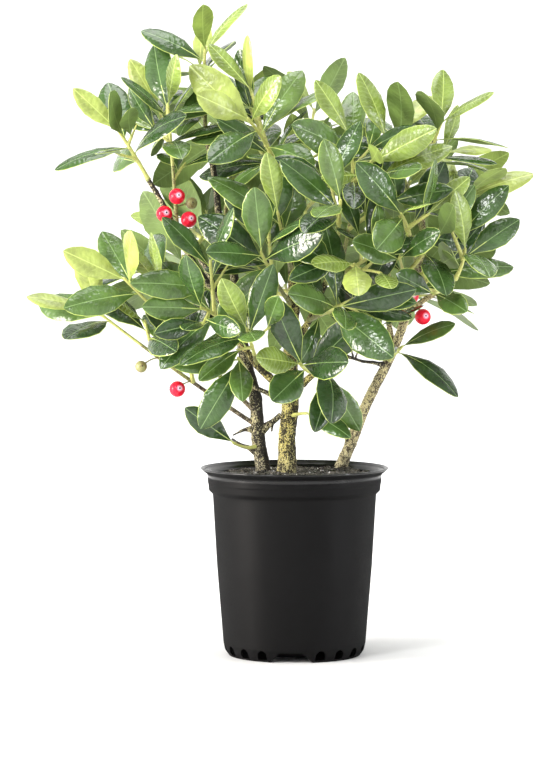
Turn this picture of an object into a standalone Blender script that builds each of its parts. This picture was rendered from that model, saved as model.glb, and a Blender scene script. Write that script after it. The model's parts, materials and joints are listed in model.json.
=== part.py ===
"""A dwarf holly with glossy evergreen leaves and red berries, growing in a round nursery pot.

Lengths below are in millimetres and are turned into metres where a shape is made. +Z is up, the origin
lies on the ground under the middle of the pot, and the plant's front faces -Y.
"""

import math
import random
from typing import NamedTuple

import bmesh
import bpy
import numpy as np
from mathutils import Vector
from mathutils.bvhtree import BVHTree

MM = 0.001
UP = np.array((0.0, 0.0, 1.0))
GOLDEN_TURN = math.radians(137.5)
CREASE = 35.0

# Pot
POT_SIDES = 36
POT_WALL = 1.6
POT_OUTSIDE = (
    (57.8, 0.0), (61.0, 4.4), (62.5, 10.6), (68.0, 78.0), (71.6, 139.6), (72.0, 142.0), (75.2, 144.9), (75.6, 150.6),
    (76.1, 151.6), (76.3, 158.2), (77.4, 160.0), (80.2, 161.9), (82.5, 164.0), (82.2, 164.8), (81.2, 165.0),
)
POT_INSIDE = (
    (78.9, 163.0), (76.3, 161.3), (74.8, 159.0), (74.6, 152.2), (74.1, 151.2), (73.7, 146.0), (70.5, 142.9),
    (70.0, 139.6), (66.4, 78.0), (60.9, 9.0), (57.6, 1.8),
)
NOTCHES = 3
NOTCH_BEARING = -3.3
NOTCH_HEIGHT = 8.8
NOTCH_FOOT_WIDTH = 37.0
NOTCH_TOP_WIDTH = 20.0
NOTCH_INNER_RADIUS = 22.0
CUT_BELOW = 5.0
CUT_RADIUS = 90.0
DRAINS_BETWEEN_NOTCHES = 5
DRAIN_SPACING = 17.75
DRAIN_WIDTH = 9.0
DRAIN_FOOT = 1.9
DRAIN_TOP = 10.2
DRAIN_INNER_RADIUS = 56.5

# Potting soil
SOIL_TOP = 159.5
SOIL_GAP = 0.4

# Wood
CLEARANCE = 0.3
STEM_SIDES = 9
BOUGH_SIDES = 6
LIMB_STEP = 26.0
ROOT_FLARE = 0.08
BOW = 0.45
CROOK = 0.012

# Shoots
TWIG_SIDES = 3
TWIG_STEP = 20.0
TWIG_FOOT_RADIUS = 2.1
TWIG_TIP_RADIUS = 1.4
BUD_LENGTH = 2.5
SIDE_SHARE = 0.62
SIDE_STEP = 0.2
SIDE_TURN = 140.0
SIDE_RETURN = 60.0
SIDE_TRIES = 6
SIDE_AHEAD = 0.62
SIDE_ASIDE = 0.8
SIDE_OUTWARD = 0.2
SIDE_UPWARD = 0.25
SIDE_CLEAR_FROM = 4
LOWEST_AIM = -0.1
LEAD_START = 12.0
WOOD_ROOM = 1.2
WOOD_SAMPLE = 1.5

# Leaves: each row of LEAF_SIZES is a leaf's size by its place behind the tip, as a share of LEAF_LENGTH
LEAF_LENGTH = 62.0
LEAF_WIDTH = 0.43
LEAF_SIZES = (0.84, 0.95, 1.04, 1.08, 1.06, 1.0, 0.94, 0.88, 0.82)
SIZE_CHANCE = 0.12
WIDEST = 0.55
BASE_SLENDER = 1.15
TIP_BLUNT = 0.56
PETIOLE = 5.0
PETIOLE_RADIUS = 0.6
LEAF_TRIES = 5
TIP_GAP = 1.2
LEAF_SPACING = 4.3
LEAF_SPACING_GROWTH = 1.25
LEAFY_SHARE = 0.8
TURN_CHANCE = 0.3
FIRST_SPREAD = 30.0
SPREAD_STEP = 9.0
WIDEST_SPREAD = 78.0
SPREAD_CHANCE = 9.0
LEAF_OUTWARD = 0.12
LEAF_LIFT = 0.16
LIFT_LOSS = 0.03
LIFT_OF_HANGING = 0.5
FACE_AHEAD = 0.45
FACE_UPWARD = 0.5
FACE_OUTWARD = 0.3
FACE_ASIDE = 0.05
FACE_FRONT = 0.7
FRONT_FROM = 30.0
FRONT_DEPTH = 60.0
ROLL_CHANCE = 0.6
FIRST_BEND = 10.0
BEND_STEP = 5.0
BEND_CHANCE = (-4.0, 16.0)
DROOP_BEND = 0.7
BLADE_RISE = 0.30
BLADE_ROLL = 0.42
LEAF_RIDGE = 0.2
LEAF_SECTIONS = (0.3, 0.7)
LEAF_TIP = 0.95
LEAF_CLEARANCE = 2.6
SPRAY_CLEARANCE = 0.9
RIM_CLEARANCE = 1.5

# Berries
BERRY_RADIUS = 7.0
UNRIPE_RADIUS = 5.2
STALK_RADIUS = 0.75


class Limb(NamedTuple):
    """A stem or bough: what it grows from and where, its tip, its radii, and how steeply it sets off."""

    name: str
    source: str
    share: float
    foot: tuple
    tip: tuple
    foot_radius: float
    tip_radius: float
    rise: float


class Spray(NamedTuple):
    """A mass of leaves: the limb it grows from and where, its leading shoot's tip, and how it branches."""

    name: str
    limb: str
    share: float
    tip: tuple
    rise: float
    sides: int
    side_length: float
    leaves: int
    turn: float
    droop: float
    seed: int


class Berry(NamedTuple):
    """A berry of a spray: the share of the leading shoot where its stalk starts, and its centre."""

    spray: str
    share: float
    centre: tuple
    ripe: bool


class Path(NamedTuple):
    """A limb's or a shoot's centre line with its radii."""

    points: np.ndarray
    radii: np.ndarray


class Joint(NamedTuple):
    """Where a limb or shoot leaves older wood: a point on its centre line, its direction and its radius.

    At the end of the older wood the two meet face to face, elsewhere the younger sits on its side.
    """

    point: np.ndarray
    direction: np.ndarray
    radius: float
    at_end: bool


class Leaf(NamedTuple):
    """A leaf: its root on its shoot's centre line, its directions, its sizes and its midrib's bend."""

    spray: str
    root: np.ndarray
    along: np.ndarray
    face: np.ndarray
    length: float
    width: float
    bend: float


SOIL = "soil"

LIMBS = (
    Limb("stem_left", SOIL, 0.0, (-27, 2), (-47, 5, 283), 6.5, 4.7, 0.25),
    Limb("stem_middle", SOIL, 0.0, (-7, -3), (-3, 0, 270), 8.2, 6.4, 0.1),
    Limb("stem_right", SOIL, 0.0, (41, 44), (107, 30, 316), 5.4, 3.5, 0.0),
    Limb("left_leader", "stem_left", 1.0, (), (-77, 16, 452), 4.4, 2.2, 0.25),
    Limb("left_bough", "stem_left", 0.93, (), (-127, -16, 416), 3.0, 2.1, 0.0),
    Limb("back_left_bough", "stem_left", 0.84, (), (-88, 74, 352), 3.1, 2.2, 0.2),
    Limb("middle_leader", "stem_middle", 1.0, (), (-6, 8, 392), 4.8, 2.6, 0.1),
    Limb("fork_left", "stem_middle", 0.62, (), (-52, -30, 284), 4.0, 2.6, -0.2),
    Limb("fork_right", "stem_middle", 0.66, (), (21, -18, 252), 4.0, 2.4, -0.2),
    Limb("middle_right_bough", "stem_middle", 0.93, (), (42, -14, 352), 3.2, 2.3, 0.15),
    Limb("back_middle_bough", "stem_middle", 0.86, (), (10, 84, 344), 3.3, 2.3, 0.2),
    Limb("right_leader", "stem_right", 1.0, (), (113, 16, 402), 3.3, 2.1, 0.35),
    Limb("right_bough", "stem_right", 0.9, (), (140, -6, 330), 2.6, 1.9, 0.0),
    Limb("back_right_bough", "stem_right", 0.66, (), (84, 92, 346), 2.8, 2.0, 0.2),
)

SPRAYS = (
    Spray("spray_top", "left_leader", 1.0, (-78, 0, 530), 0.0, 0, 34, 9, 240, 0.1, 3),
    Spray("spray_crest_left", "left_bough", 0.68, (-110, -24, 480), 0.2, 1, 42, 6, 320, 0.0, 93),
    Spray("spray_shoulder_left", "left_bough", 1.0, (-152, -31, 458), 0.2, 0, 36, 7, 140, 0.0, 211),
    Spray("spray_arch_left", "stem_left", 0.42, (-145, -68, 331), 0.0, 2, 40, 6, 170, 0.0, 238),
    Spray("spray_sweep_left", "stem_left", 0.33, (-174, -36, 305), -0.05, 2, 34, 5, 200, 0.0, 149),
    Spray("spray_base_left", "stem_left", 0.2, (-53, -25, 188), -0.3, 0, 30, 2, 60, 0.35, 12),
    Spray("spray_elbow_left", "left_bough", 0.3, (-138, -8, 341), 0.0, 0, 40, 5, 240, 0.0, 269),
    Spray("spray_inner_left", "fork_left", 1.0, (-80, -69, 307), 0.1, 1, 44, 7, 0, 0.0, 106),
    Spray("spray_front_left", "fork_left", 0.55, (-41, -82, 289), 0.0, 0, 28, 6, 80, 0.0, 12),
    Spray("spray_low_left", "stem_left", 0.62, (-49, -48, 263), 0.2, 0, 34, 3, 270, 0.9, 251),
    Spray("spray_front_low", "fork_right", 0.9, (4, -66, 259), -0.2, 0, 32, 5, 150, 0.0, 237),
    Spray("spray_hanging", "fork_right", 1.0, (28, -30, 244), 0.1, 0, 26, 5, 110, 0.6, 275),
    Spray("spray_drop", "stem_middle", 0.45, (10, -28, 214), 0.1, 0, 20, 2, 0, 0.9, 22),
    Spray("spray_front_middle", "middle_right_bough", 0.35, (38, -86, 309), 0.0, 1, 36, 9, 160, 0.1, 137),
    Spray("spray_low_middle", "stem_right", 0.7, (73, -16, 292), -0.3, 0, 30, 3, 130, 0.0, 390),
    Spray("spray_front_bright", "middle_right_bough", 0.7, (72, -81, 337), 0.3, 2, 30, 7, 90, 0.2, 104),
    Spray("spray_crown_left", "middle_leader", 1.0, (-40, -52, 468), 0.2, 3, 48, 9, 160, 0.0, 175),
    Spray("spray_crown_middle", "middle_right_bough", 1.0, (47, -43, 454), 0.4, 3, 44, 9, 140, 0.0, 183),
    Spray("spray_heart_left", "middle_leader", 0.55, (-15, -76, 388), -0.1, 0, 54, 9, 40, 0.1, 22),
    Spray("spray_heart_low", "middle_leader", 0.3, (-29, -76, 354), -0.1, 1, 36, 6, 20, 0.0, 370),
    Spray("spray_heart_right", "middle_right_bough", 0.9, (38, -89, 398), 0.1, 1, 34, 7, 40, 0.1, 33),
    Spray("spray_crown_right", "right_leader", 1.0, (128, -6, 467), 0.4, 0, 34, 9, 220, 0.0, 35),
    Spray("spray_inner_right", "right_leader", 0.62, (78, -34, 451), 0.3, 1, 40, 8, 60, 0.2, 140),
    Spray("spray_shoulder_right", "right_leader", 0.4, (152, -7, 405), 0.1, 0, 36, 7, 120, 0.0, 364),
    Spray("spray_centre_right", "right_leader", 0.15, (90, -72, 387), 0.4, 2, 24, 9, 290, 0.0, 286),
    Spray("spray_elbow_right", "right_bough", 1.0, (147, -32, 356), 0.3, 1, 30, 4, 70, 0.3, 213),
    Spray("spray_low_right", "right_bough", 0.7, (119, -49, 318), 0.0, 1, 28, 3, 90, 0.0, 23),
    Spray("spray_front_right", "stem_right", 0.93, (89, -70, 349), 0.1, 3, 48, 7, 320, 0.1, 331),
    Spray("spray_stem_right", "stem_right", 0.62, (94, 6, 270), 0.0, 0, 30, 3, 320, 0.3, 193),
    Spray("spray_back_low_right", "back_right_bough", 0.5, (120, 74, 322), -0.2, 2, 44, 9, 50, 0.1, 49),
    Spray("spray_back_right", "back_right_bough", 1.0, (105, 103, 414), 0.4, 2, 52, 7, 20, 0.4, 329),
    Spray("spray_back_crown", "middle_leader", 0.6, (18, 78, 479), 0.1, 0, 42, 8, 260, 0.2, 79),
    Spray("spray_back_middle", "back_middle_bough", 1.0, (9, 132, 420), -0.1, 1, 46, 9, 320, 0.3, 149),
    Spray("spray_back_low", "back_middle_bough", 0.55, (-8, 125, 321), -0.1, 2, 48, 7, 60, 0.0, 218),
    Spray("spray_back_left", "back_left_bough", 1.0, (-64, 112, 376), 0.1, 2, 36, 7, 110, 0.0, 123),
    Spray("spray_back_low_left", "back_left_bough", 0.6, (-113, 92, 326), 0.1, 1, 40, 7, 40, 0.0, 388),
    Spray("spray_back_crest_left", "left_leader", 0.5, (-48, 67, 472), 0.3, 1, 54, 9, 20, 0.4, 312),
)

BERRIES = (
    Berry("spray_crest_left", 0.26, (-102, -27, 402), True),
    Berry("spray_crest_left", 0.12, (-113, -27, 387), True),
    Berry("spray_crest_left", 0.12, (-92, -22, 382), True),
    Berry("spray_crest_left", 0.2, (-90, -8, 396), False),
    Berry("spray_crest_left", 0.08, (-100, -31, 373), False),
    Berry("spray_sweep_left", 0.4, (-102, -26, 235), True),
    Berry("spray_sweep_left", 0.6, (-133, -36, 255), False),
    Berry("spray_front_right", 0.45, (100, -36, 316), True),
    Berry("spray_front_right", 0.2, (112, -5, 297), True),
)


def unit(vector):
    return vector / np.linalg.norm(vector)


def square_to(vector, axis):
    """The part of vector that is square to axis, as a unit vector."""
    return unit(vector - axis * np.dot(vector, axis))


def bowed(start, end, rise, step, joint=None):
    """Points from start to end along a curve that sets off with the share rise of its heading straight up.

    From the end of older wood it sets off halfway between that wood's direction and its own.
    """
    reach = np.linalg.norm(end - start)
    heading = unit((1 - abs(rise)) * (end - start) / reach + rise * UP)
    if joint and joint.at_end:
        heading = unit(heading + joint.direction)
    middle = start + heading * reach * BOW
    count = max(3, round(reach / step)) + 1
    t = np.linspace(0, 1, count)[:, None]
    return (1 - t) ** 2 * start + 2 * t * (1 - t) * middle + t**2 * end


def place_on(path, share):
    """Point, direction and radius at a share of a path's length."""
    steps = np.linalg.norm(np.diff(path.points, axis=0), axis=1)
    lengths = np.concatenate([[0.0], np.cumsum(steps)])
    at = share * lengths[-1]
    k = min(int(np.searchsorted(lengths, at, side="right")) - 1, len(steps) - 1)
    t = (at - lengths[k]) / steps[k]
    point = path.points[k] * (1 - t) + path.points[k + 1] * t
    radius = path.radii[k] * (1 - t) + path.radii[k + 1] * t
    return point, unit(path.points[k + 1] - path.points[k]), radius


def length_of(path):
    return float(np.linalg.norm(np.diff(path.points, axis=0), axis=1).sum())


def crooked(points, seed):
    """The points moved a little aside, as wood that grew from bud to bud, with both ends kept."""
    rng = random.Random(seed)
    axis = unit(points[-1] - points[0])
    aside = square_to(np.array((rng.uniform(-1, 1), rng.uniform(-1, 1), 0.2)), axis)
    other = np.cross(axis, aside)
    s = np.linspace(0, 1, len(points))
    reach = np.linalg.norm(points[-1] - points[0]) * CROOK
    wave = np.sin(s * math.pi * 3 + rng.uniform(0, 6)) * np.sin(s * math.pi)
    sway = np.sin(s * math.pi * 2 + rng.uniform(0, 6)) * np.sin(s * math.pi)
    return points + reach * (wave[:, None] * aside + sway[:, None] * other)


def joint_on(paths, name, share):
    point, direction, radius = place_on(paths[name], share)
    return Joint(point, direction, radius, share == 1.0)


def grow_limbs():
    """Each limb's path, by name, from its foot in the soil or on the limb that it leaves."""
    paths = {}
    for number, limb in enumerate(LIMBS):
        tip = np.array(limb.tip, float)
        joint = None
        if limb.source == SOIL:
            start = np.array((*limb.foot, SOIL_TOP + CLEARANCE))
        else:
            joint = joint_on(paths, limb.source, limb.share)
            start = joint.point
        points = crooked(bowed(start, tip, limb.rise, LIMB_STEP, joint), number)
        s = np.linspace(0, 1, len(points))
        radii = limb.foot_radius + (limb.tip_radius - limb.foot_radius) * s
        if limb.source == SOIL:
            points = np.insert(points, 1, points[0] * 0.6 + points[1] * 0.4, axis=0)
            radii = np.insert(radii, 1, radii[0])
            radii[0] *= 1 + ROOT_FLARE
        paths[limb.name] = Path(points, radii)
    return paths


def shoot_path(start, end, rise, joint=None):
    points = bowed(start, end, rise, TWIG_STEP, joint)
    return Path(points, np.linspace(TWIG_FOOT_RADIUS, TWIG_TIP_RADIUS, len(points)))


def crossing(points, radius, wood):
    """True where a path comes too near wood that is already there. wood is a list of (points, radii)."""
    for other, radii in wood:
        gaps = np.linalg.norm(points[:, None] - other[None], axis=2) - radii[None]
        if gaps.min() < radius + WOOD_ROOM:
            return True
    return False


def dense(path):
    """The path's points a millimetre or two apart, with their radii."""
    count = max(4, int(length_of(path) / WOOD_SAMPLE))
    shares = np.linspace(0, 1, count)
    found = [place_on(path, share) for share in shares]
    return np.array([f[0] for f in found]), np.array([f[2] for f in found])


def grow_shoots(limbs):
    """The shoots of each spray: a leading one from the limb to the named tip, then sides that fork off."""
    wood = [dense(path) for path in limbs.values()]
    shoots = {}
    for spray in SPRAYS:
        joint = joint_on(limbs, spray.limb, spray.share)
        lead = shoot_path(joint.point, np.array(spray.tip, float), spray.rise, joint)
        points, radii = dense(lead)
        outside = np.linalg.norm(points - joint.point, axis=1) > joint.radius + LEAD_START
        if crossing(points[outside], TWIG_FOOT_RADIUS, wood):
            print("leading shoot of", spray.name, "touches other wood")
        wood.append((points[outside], radii[outside]))
        shoots[spray.name] = [lead]
    for spray in SPRAYS:
        for k in range(spray.sides):
            side = side_shoot(spray, shoots[spray.name][0], k, wood)
            if side:
                shoots[spray.name].append(side)
                wood.append(dense(side))
    return shoots


def side_shoot(spray, lead, k, wood):
    """The k-th shoot that forks from a leading one, at the first of a few turns where it stays clear."""
    rng = random.Random(spray.seed * 100 + k)
    foot, heading, _ = place_on(lead, SIDE_SHARE - SIDE_STEP * k + rng.uniform(-0.05, 0.05))
    outward = unit(np.array((foot[0], foot[1], 0.0)) + 1e-6)
    for attempt in range(SIDE_TRIES):
        turn = math.radians(spray.turn + SIDE_TURN * k + SIDE_RETURN * attempt)
        aside = square_to(UP + 0.3 * heading[::-1], heading)
        aside = aside * math.cos(turn) + np.cross(heading, aside) * math.sin(turn)
        aim = SIDE_AHEAD * heading + SIDE_ASIDE * aside + SIDE_OUTWARD * outward + SIDE_UPWARD * UP
        aim = unit(aim)
        side = shoot_path(foot, foot + aim * spray.side_length * rng.uniform(0.9, 1.15), 0.0)
        points, _ = dense(side)
        if aim[2] > LOWEST_AIM and not crossing(points[SIDE_CLEAR_FROM:], TWIG_TIP_RADIUS, wood):
            return side
    return None


def half_width(u):
    """Half of a leaf's width, as a share of the most, at share u of its length: widest past the middle."""
    u = np.clip(np.asarray(u, float), 0.0, 1.0)
    rising = np.sin(np.clip(u / WIDEST, 0, 1) * math.pi / 2) ** BASE_SLENDER
    falling = np.cos(np.clip((u - WIDEST) / (1 - WIDEST), 0, 1) * math.pi / 2) ** TIP_BLUNT
    return np.where(u < WIDEST, rising, falling)


def blade(leaf, u, v, lift=0.0):
    """Points on a leaf's blade: u from base to tip, v from edge to edge, lift above the blade.

    The midrib runs straight through the petiole and then turns down on an arc; the halves rise from the
    midrib and roll down again to the edge.
    """
    u, v = np.broadcast_arrays(np.asarray(u, float), np.asarray(v, float))
    bend = max(leaf.bend, 1e-3)
    turn = bend * np.clip(u, 0, 1)
    forward = leaf.length * (np.sin(turn) / bend + np.minimum(u, 0) + np.maximum(u - 1, 0))
    fall = leaf.length * (1 - np.cos(turn)) / bend
    side = np.cross(leaf.face, leaf.along)
    centre = leaf.root + leaf.along * PETIOLE
    normal = np.sin(turn)[..., None] * leaf.along + np.cos(turn)[..., None] * leaf.face
    half = leaf.width / 2 * half_width(u)
    dome = half * (BLADE_RISE * np.abs(v) - BLADE_ROLL * v**2)
    return (
        centre
        + forward[..., None] * leaf.along
        - fall[..., None] * leaf.face
        + (half * v)[..., None] * side
        + (dome + lift)[..., None] * normal
    )


class Thicket:
    """What a new leaf has to stay clear of: wood, berries and the leaves that are there already."""

    def __init__(self):
        self.items = []

    def add(self, owner, points, faces):
        points = np.asarray(points, float)
        centre = points.mean(0)
        reach = np.linalg.norm(points - centre, axis=1).max()
        tree = BVHTree.FromPolygons([Vector(p) for p in points], faces)
        self.items.append((owner, centre, reach, tree, points))

    def clear(self, owner, points, faces):
        """True where the new piece crosses nothing and keeps its distance, more from other sprays."""
        centre = points.mean(0)
        reach = np.linalg.norm(points - centre, axis=1).max()
        corners = [Vector(p) for p in points]
        tree = BVHTree.FromPolygons(corners, faces)
        for other, middle, extent, standing, around in self.items:
            room = SPRAY_CLEARANCE if other == owner else LEAF_CLEARANCE
            if np.linalg.norm(middle - centre) > reach + extent + room:
                continue
            if tree.overlap(standing):
                return False
            if any(standing.find_nearest(c, room)[0] is not None for c in corners):
                return False
            near = around[np.linalg.norm(around - centre, axis=1) < reach + room]
            if any(tree.find_nearest(Vector(c), room)[0] is not None for c in near):
                return False
        return True


NET_U = (0.06, 0.2, 0.34, 0.54, 0.74, 0.9, 1.0)
NET_V = (-1.0, 0.0, 1.0)


def leaf_net(leaf):
    """A coarse sheet in the leaf's shape, which stands for it when leaves are kept apart."""
    u, v = np.meshgrid(NET_U, NET_V, indexing="ij")
    points = blade(leaf, u, v).reshape(-1, 3)
    columns = len(NET_V)
    faces = []
    for i in range(len(NET_U) - 1):
        for j in range(columns - 1):
            a = i * columns + j
            faces.append((a, a + 1, a + columns + 1))
            faces.append((a, a + columns + 1, a + columns))
    return points, faces


def ring_frame(points):
    """Two directions square to a path at each point, carried along it without twist."""
    tangents = np.gradient(points, axis=0)
    tangents /= np.linalg.norm(tangents, axis=1)[:, None]
    first = square_to(np.array((0.37, 0.61, 0.2)), tangents[0])
    ones = [first]
    for tangent in tangents[1:]:
        ones.append(square_to(ones[-1], tangent))
    ones = np.array(ones)
    return tangents, ones, np.cross(tangents, ones)


def tube(path, sides, joint=None, bud=0.0):
    """Corners and faces of a closed tube round a path.

    With a joint, the first ring and cap are fitted to the older wood. A bud longer than 0 closes the far end
    as a point that stands that much ahead of the last ring.
    """
    points, radii = path
    tangents, ones, others = ring_frame(points)
    turns = np.arange(sides) * 2 * math.pi / sides
    rings = (
        points[:, None]
        + radii[:, None, None] * np.cos(turns)[None, :, None] * ones[:, None]
        + radii[:, None, None] * np.sin(turns)[None, :, None] * others[:, None]
    )
    foot = points[0]
    if joint:
        half_side = radii[0] * math.sin(math.pi / sides)
        rings[0] = np.array([fitted(corner, tangents[0], joint, half_side) for corner in rings[0]])
        foot = fitted(points[0], tangents[0], joint, half_side)
    corners = [foot, *rings.reshape(-1, 3), points[-1] + tangents[-1] * bud]
    last = len(corners) - 1
    faces = []
    for k in range(sides):
        n = (k + 1) % sides
        faces.append((0, 1 + n, 1 + k))
        for i in range(len(points) - 1):
            low, high = 1 + i * sides, 1 + (i + 1) * sides
            faces.append((low + k, low + n, high + n, high + k))
        top = 1 + (len(points) - 1) * sides
        faces.append((top + k, top + n, last))
    return np.array(corners), faces


def fitted(corner, heading, joint, half_side):
    """corner slid along heading until it stands clear of the older wood's end, or of its round side.

    On the round side it stands far enough out that a straight edge of twice half_side clears the wood too.
    """
    offset = corner - joint.point
    if joint.at_end:
        ahead = np.dot(offset, joint.direction)
        return corner + heading * (CLEARANCE - ahead) / np.dot(heading, joint.direction)
    across = heading - joint.direction * np.dot(heading, joint.direction)
    offset = offset - joint.direction * np.dot(offset, joint.direction)
    a = np.dot(across, across)
    b = 2 * np.dot(across, offset)
    c = np.dot(offset, offset) - (joint.radius + CLEARANCE) ** 2 - half_side**2
    return corner + heading * (-b + math.sqrt(max(b * b - 4 * a * c, 0.0))) / (2 * a)


def try_leaf(spray, shoot, k, rng):
    """The k-th leaf from a shoot's tip, its place and size set by the rule and a little chance.

    Leaves turn round the shoot by the golden angle, spread wider the older they are, bend outward and up to
    the light, and show their upper side to the shoot's tip and the sky.
    """
    reach = length_of(shoot)
    back = TIP_GAP + LEAF_SPACING * k**LEAF_SPACING_GROWTH
    if back > reach * LEAFY_SHARE:
        return None
    root, tangent, _ = place_on(shoot, 1 - back / reach)
    turn = math.radians(spray.turn) + k * GOLDEN_TURN + rng.uniform(-TURN_CHANCE, TURN_CHANCE)
    aside = square_to(UP + np.array((0.3, -0.2, 0.0)), tangent)
    aside = aside * math.cos(turn) + np.cross(tangent, aside) * math.sin(turn)
    spread = min(WIDEST_SPREAD, FIRST_SPREAD + SPREAD_STEP * k)
    spread = math.radians(spread + rng.uniform(-SPREAD_CHANCE, SPREAD_CHANCE))
    along = math.cos(spread) * tangent + math.sin(spread) * aside
    outward = unit(np.array((root[0], root[1], 0.0)) + 1e-6)
    lift = LEAF_LIFT - spray.droop - LIFT_LOSS * k + LIFT_OF_HANGING * max(0.0, -along[2])
    along = unit(along + LEAF_OUTWARD * outward + lift * UP)
    front = FACE_FRONT * min(1.0, max(-1.0, (root[1] - FRONT_FROM) / FRONT_DEPTH))
    face = FACE_AHEAD * tangent + FACE_UPWARD * UP + FACE_OUTWARD * outward + FACE_ASIDE * aside
    face = face + np.array((0.0, front, 0.0))
    face = square_to(face, along)
    roll = rng.uniform(-ROLL_CHANCE, ROLL_CHANCE)
    face = face * math.cos(roll) + np.cross(along, face) * math.sin(roll)
    length = LEAF_LENGTH * LEAF_SIZES[k] * rng.uniform(1 - SIZE_CHANCE, 1 + SIZE_CHANCE)
    width = length * LEAF_WIDTH * rng.uniform(1 - SIZE_CHANCE, 1 + SIZE_CHANCE)
    bend = math.radians(FIRST_BEND + BEND_STEP * k + rng.uniform(*BEND_CHANCE)) + DROOP_BEND * spray.droop
    return Leaf(spray.name, root, along, face, length, width, bend)


def grow_leaves(limbs, shoots, berries):
    """The leaves of every shoot, youngest first, leaving out any that would touch what is there."""
    thicket = Thicket()
    for name, path in limbs.items():
        thicket.add(name, *tube(path, 6))
    for name, own in shoots.items():
        for shoot in own:
            thicket.add(name, *tube(shoot, 4))
    for berry in berries:
        thicket.add(berry.spray, *ball(np.array(berry.centre, float), BERRY_RADIUS + 0.5))
    rim = max(r for r, _ in POT_OUTSIDE) + RIM_CLEARANCE
    axis = np.linspace(0.0, POT_OUTSIDE[-1][1] + RIM_CLEARANCE, 3)[:, None] * UP
    thicket.add("pot", *tube(Path(axis, np.full(3, rim)), 24))
    leaves = []
    for k in range(len(LEAF_SIZES)):
        for spray in (s for s in SPRAYS if k < s.leaves):
            for number, shoot in enumerate(shoots[spray.name]):
                rng = random.Random(spray.seed * 1000 + number * 100 + k)
                for _ in range(LEAF_TRIES):
                    leaf = try_leaf(spray, shoot, k, rng)
                    if leaf is None:
                        break
                    points, faces = leaf_net(leaf)
                    if thicket.clear(spray.name, points, faces):
                        thicket.add(spray.name, points, faces)
                        leaves.append(leaf)
                        break
    return leaves


def ball(centre, radius, subdivisions=2):
    """Corners and faces of an icosphere."""
    mesh = bmesh.new()
    bmesh.ops.create_icosphere(mesh, subdivisions=subdivisions, radius=radius)
    corners = np.array([centre + np.array(v.co) for v in mesh.verts])
    faces = [tuple(v.index for v in f.verts) for f in mesh.faces]
    mesh.free()
    return corners, faces


def leaf_solid(leaf):
    """A leaf as a closed solid: three-cornered sections from a root in its shoot's middle to a narrow tip.

    Each section has both edges of the blade and the ridge of the midrib over them, and the tip is a short
    straight edge.
    """
    side = np.cross(leaf.face, leaf.along)
    corners = ((1, -0.5), (-1, -0.5), (0, 1))
    sections = [leaf.root + PETIOLE_RADIUS * (x * side + z * leaf.face) for x, z in corners]
    for u in LEAF_SECTIONS:
        sections += [*blade(leaf, (u, u), (1.0, -1.0)), blade(leaf, u, 0.0, LEAF_RIDGE)]
    sections += [*blade(leaf, (LEAF_TIP, LEAF_TIP), (1.0, -1.0))]
    faces = [(0, 1, 2)]
    for i in range(len(LEAF_SECTIONS)):
        for k in range(3):
            n = (k + 1) % 3
            faces.append((3 * i + k, 3 * (i + 1) + k, 3 * (i + 1) + n, 3 * i + n))
    right = 3 * len(LEAF_SECTIONS)
    left, ridge, tip_right, tip_left = range(right + 1, right + 5)
    faces += [(right, tip_right, tip_left, left), (left, tip_left, ridge), (ridge, tip_left, tip_right)]
    faces.append((ridge, tip_right, right))
    return np.array(sections), faces


def make_material(name, colour, roughness, metallic=0.0):
    material = bpy.data.materials.new(name)
    material.use_nodes = True
    shader = material.node_tree.nodes["Principled BSDF"]
    shader.inputs["Base Color"].default_value = (*colour, 1.0)
    shader.inputs["Roughness"].default_value = roughness
    shader.inputs["Metallic"].default_value = metallic
    return material


def make_object(name, corners, faces, material=None):
    """An object from corners in millimetres, its faces turned to point out where they all point in."""
    corners = np.asarray(corners, float)
    volume = sum(
        np.dot(corners[face[0]], np.cross(corners[face[i]], corners[face[i + 1]]))
        for face in faces
        for i in range(1, len(face) - 1)
    )
    if volume < 0:
        faces = [tuple(reversed(face)) for face in faces]
    mesh = bpy.data.meshes.new(name)
    mesh.from_pydata([tuple(corner) for corner in (corners * MM).tolist()], [], faces)
    if material:
        mesh.materials.append(material)
    made = bpy.data.objects.new(name, mesh)
    bpy.context.scene.collection.objects.link(made)
    return made


def boolean(target, operation, others):
    """target joined with, or cut by, the other objects, which are then removed."""
    helpers = bpy.data.collections.new("helpers")
    for other in others:
        for owner in other.users_collection:
            owner.objects.unlink(other)
        helpers.objects.link(other)
    bpy.context.scene.collection.children.link(helpers)
    modifier = target.modifiers.new("join", "BOOLEAN")
    modifier.operation = operation
    modifier.operand_type = "COLLECTION"
    modifier.collection = helpers
    modifier.solver = "EXACT"
    bpy.context.view_layer.update()
    result = bpy.data.meshes.new_from_object(target.evaluated_get(bpy.context.evaluated_depsgraph_get()))
    target.modifiers.clear()
    old = target.data
    target.data = result
    bpy.data.meshes.remove(old)
    for other in list(helpers.objects):
        bpy.data.objects.remove(other)
    bpy.data.collections.remove(helpers)
    return target


def shade(target):
    """Smooth shading with a crease wherever faces meet at more than CREASE degrees."""
    target.data.polygons.foreach_set("use_smooth", [True] * len(target.data.polygons))
    target.data.set_sharp_from_angle(angle=math.radians(CREASE))


def drop_scraps(target):
    """Only the largest connected piece of target is kept."""
    shell = bmesh.new()
    shell.from_mesh(target.data)
    left = set(shell.verts)
    pieces = []
    while left:
        piece = set()
        reached = {left.pop()}
        while reached:
            vert = reached.pop()
            piece.add(vert)
            reached |= {edge.other_vert(vert) for edge in vert.link_edges} & left
            left -= reached
        pieces.append(piece)
    pieces.sort(key=len)
    for piece in pieces[:-1]:
        bmesh.ops.delete(shell, geom=list(piece), context="VERTS")
    shell.to_mesh(target.data)
    shell.free()


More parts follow.
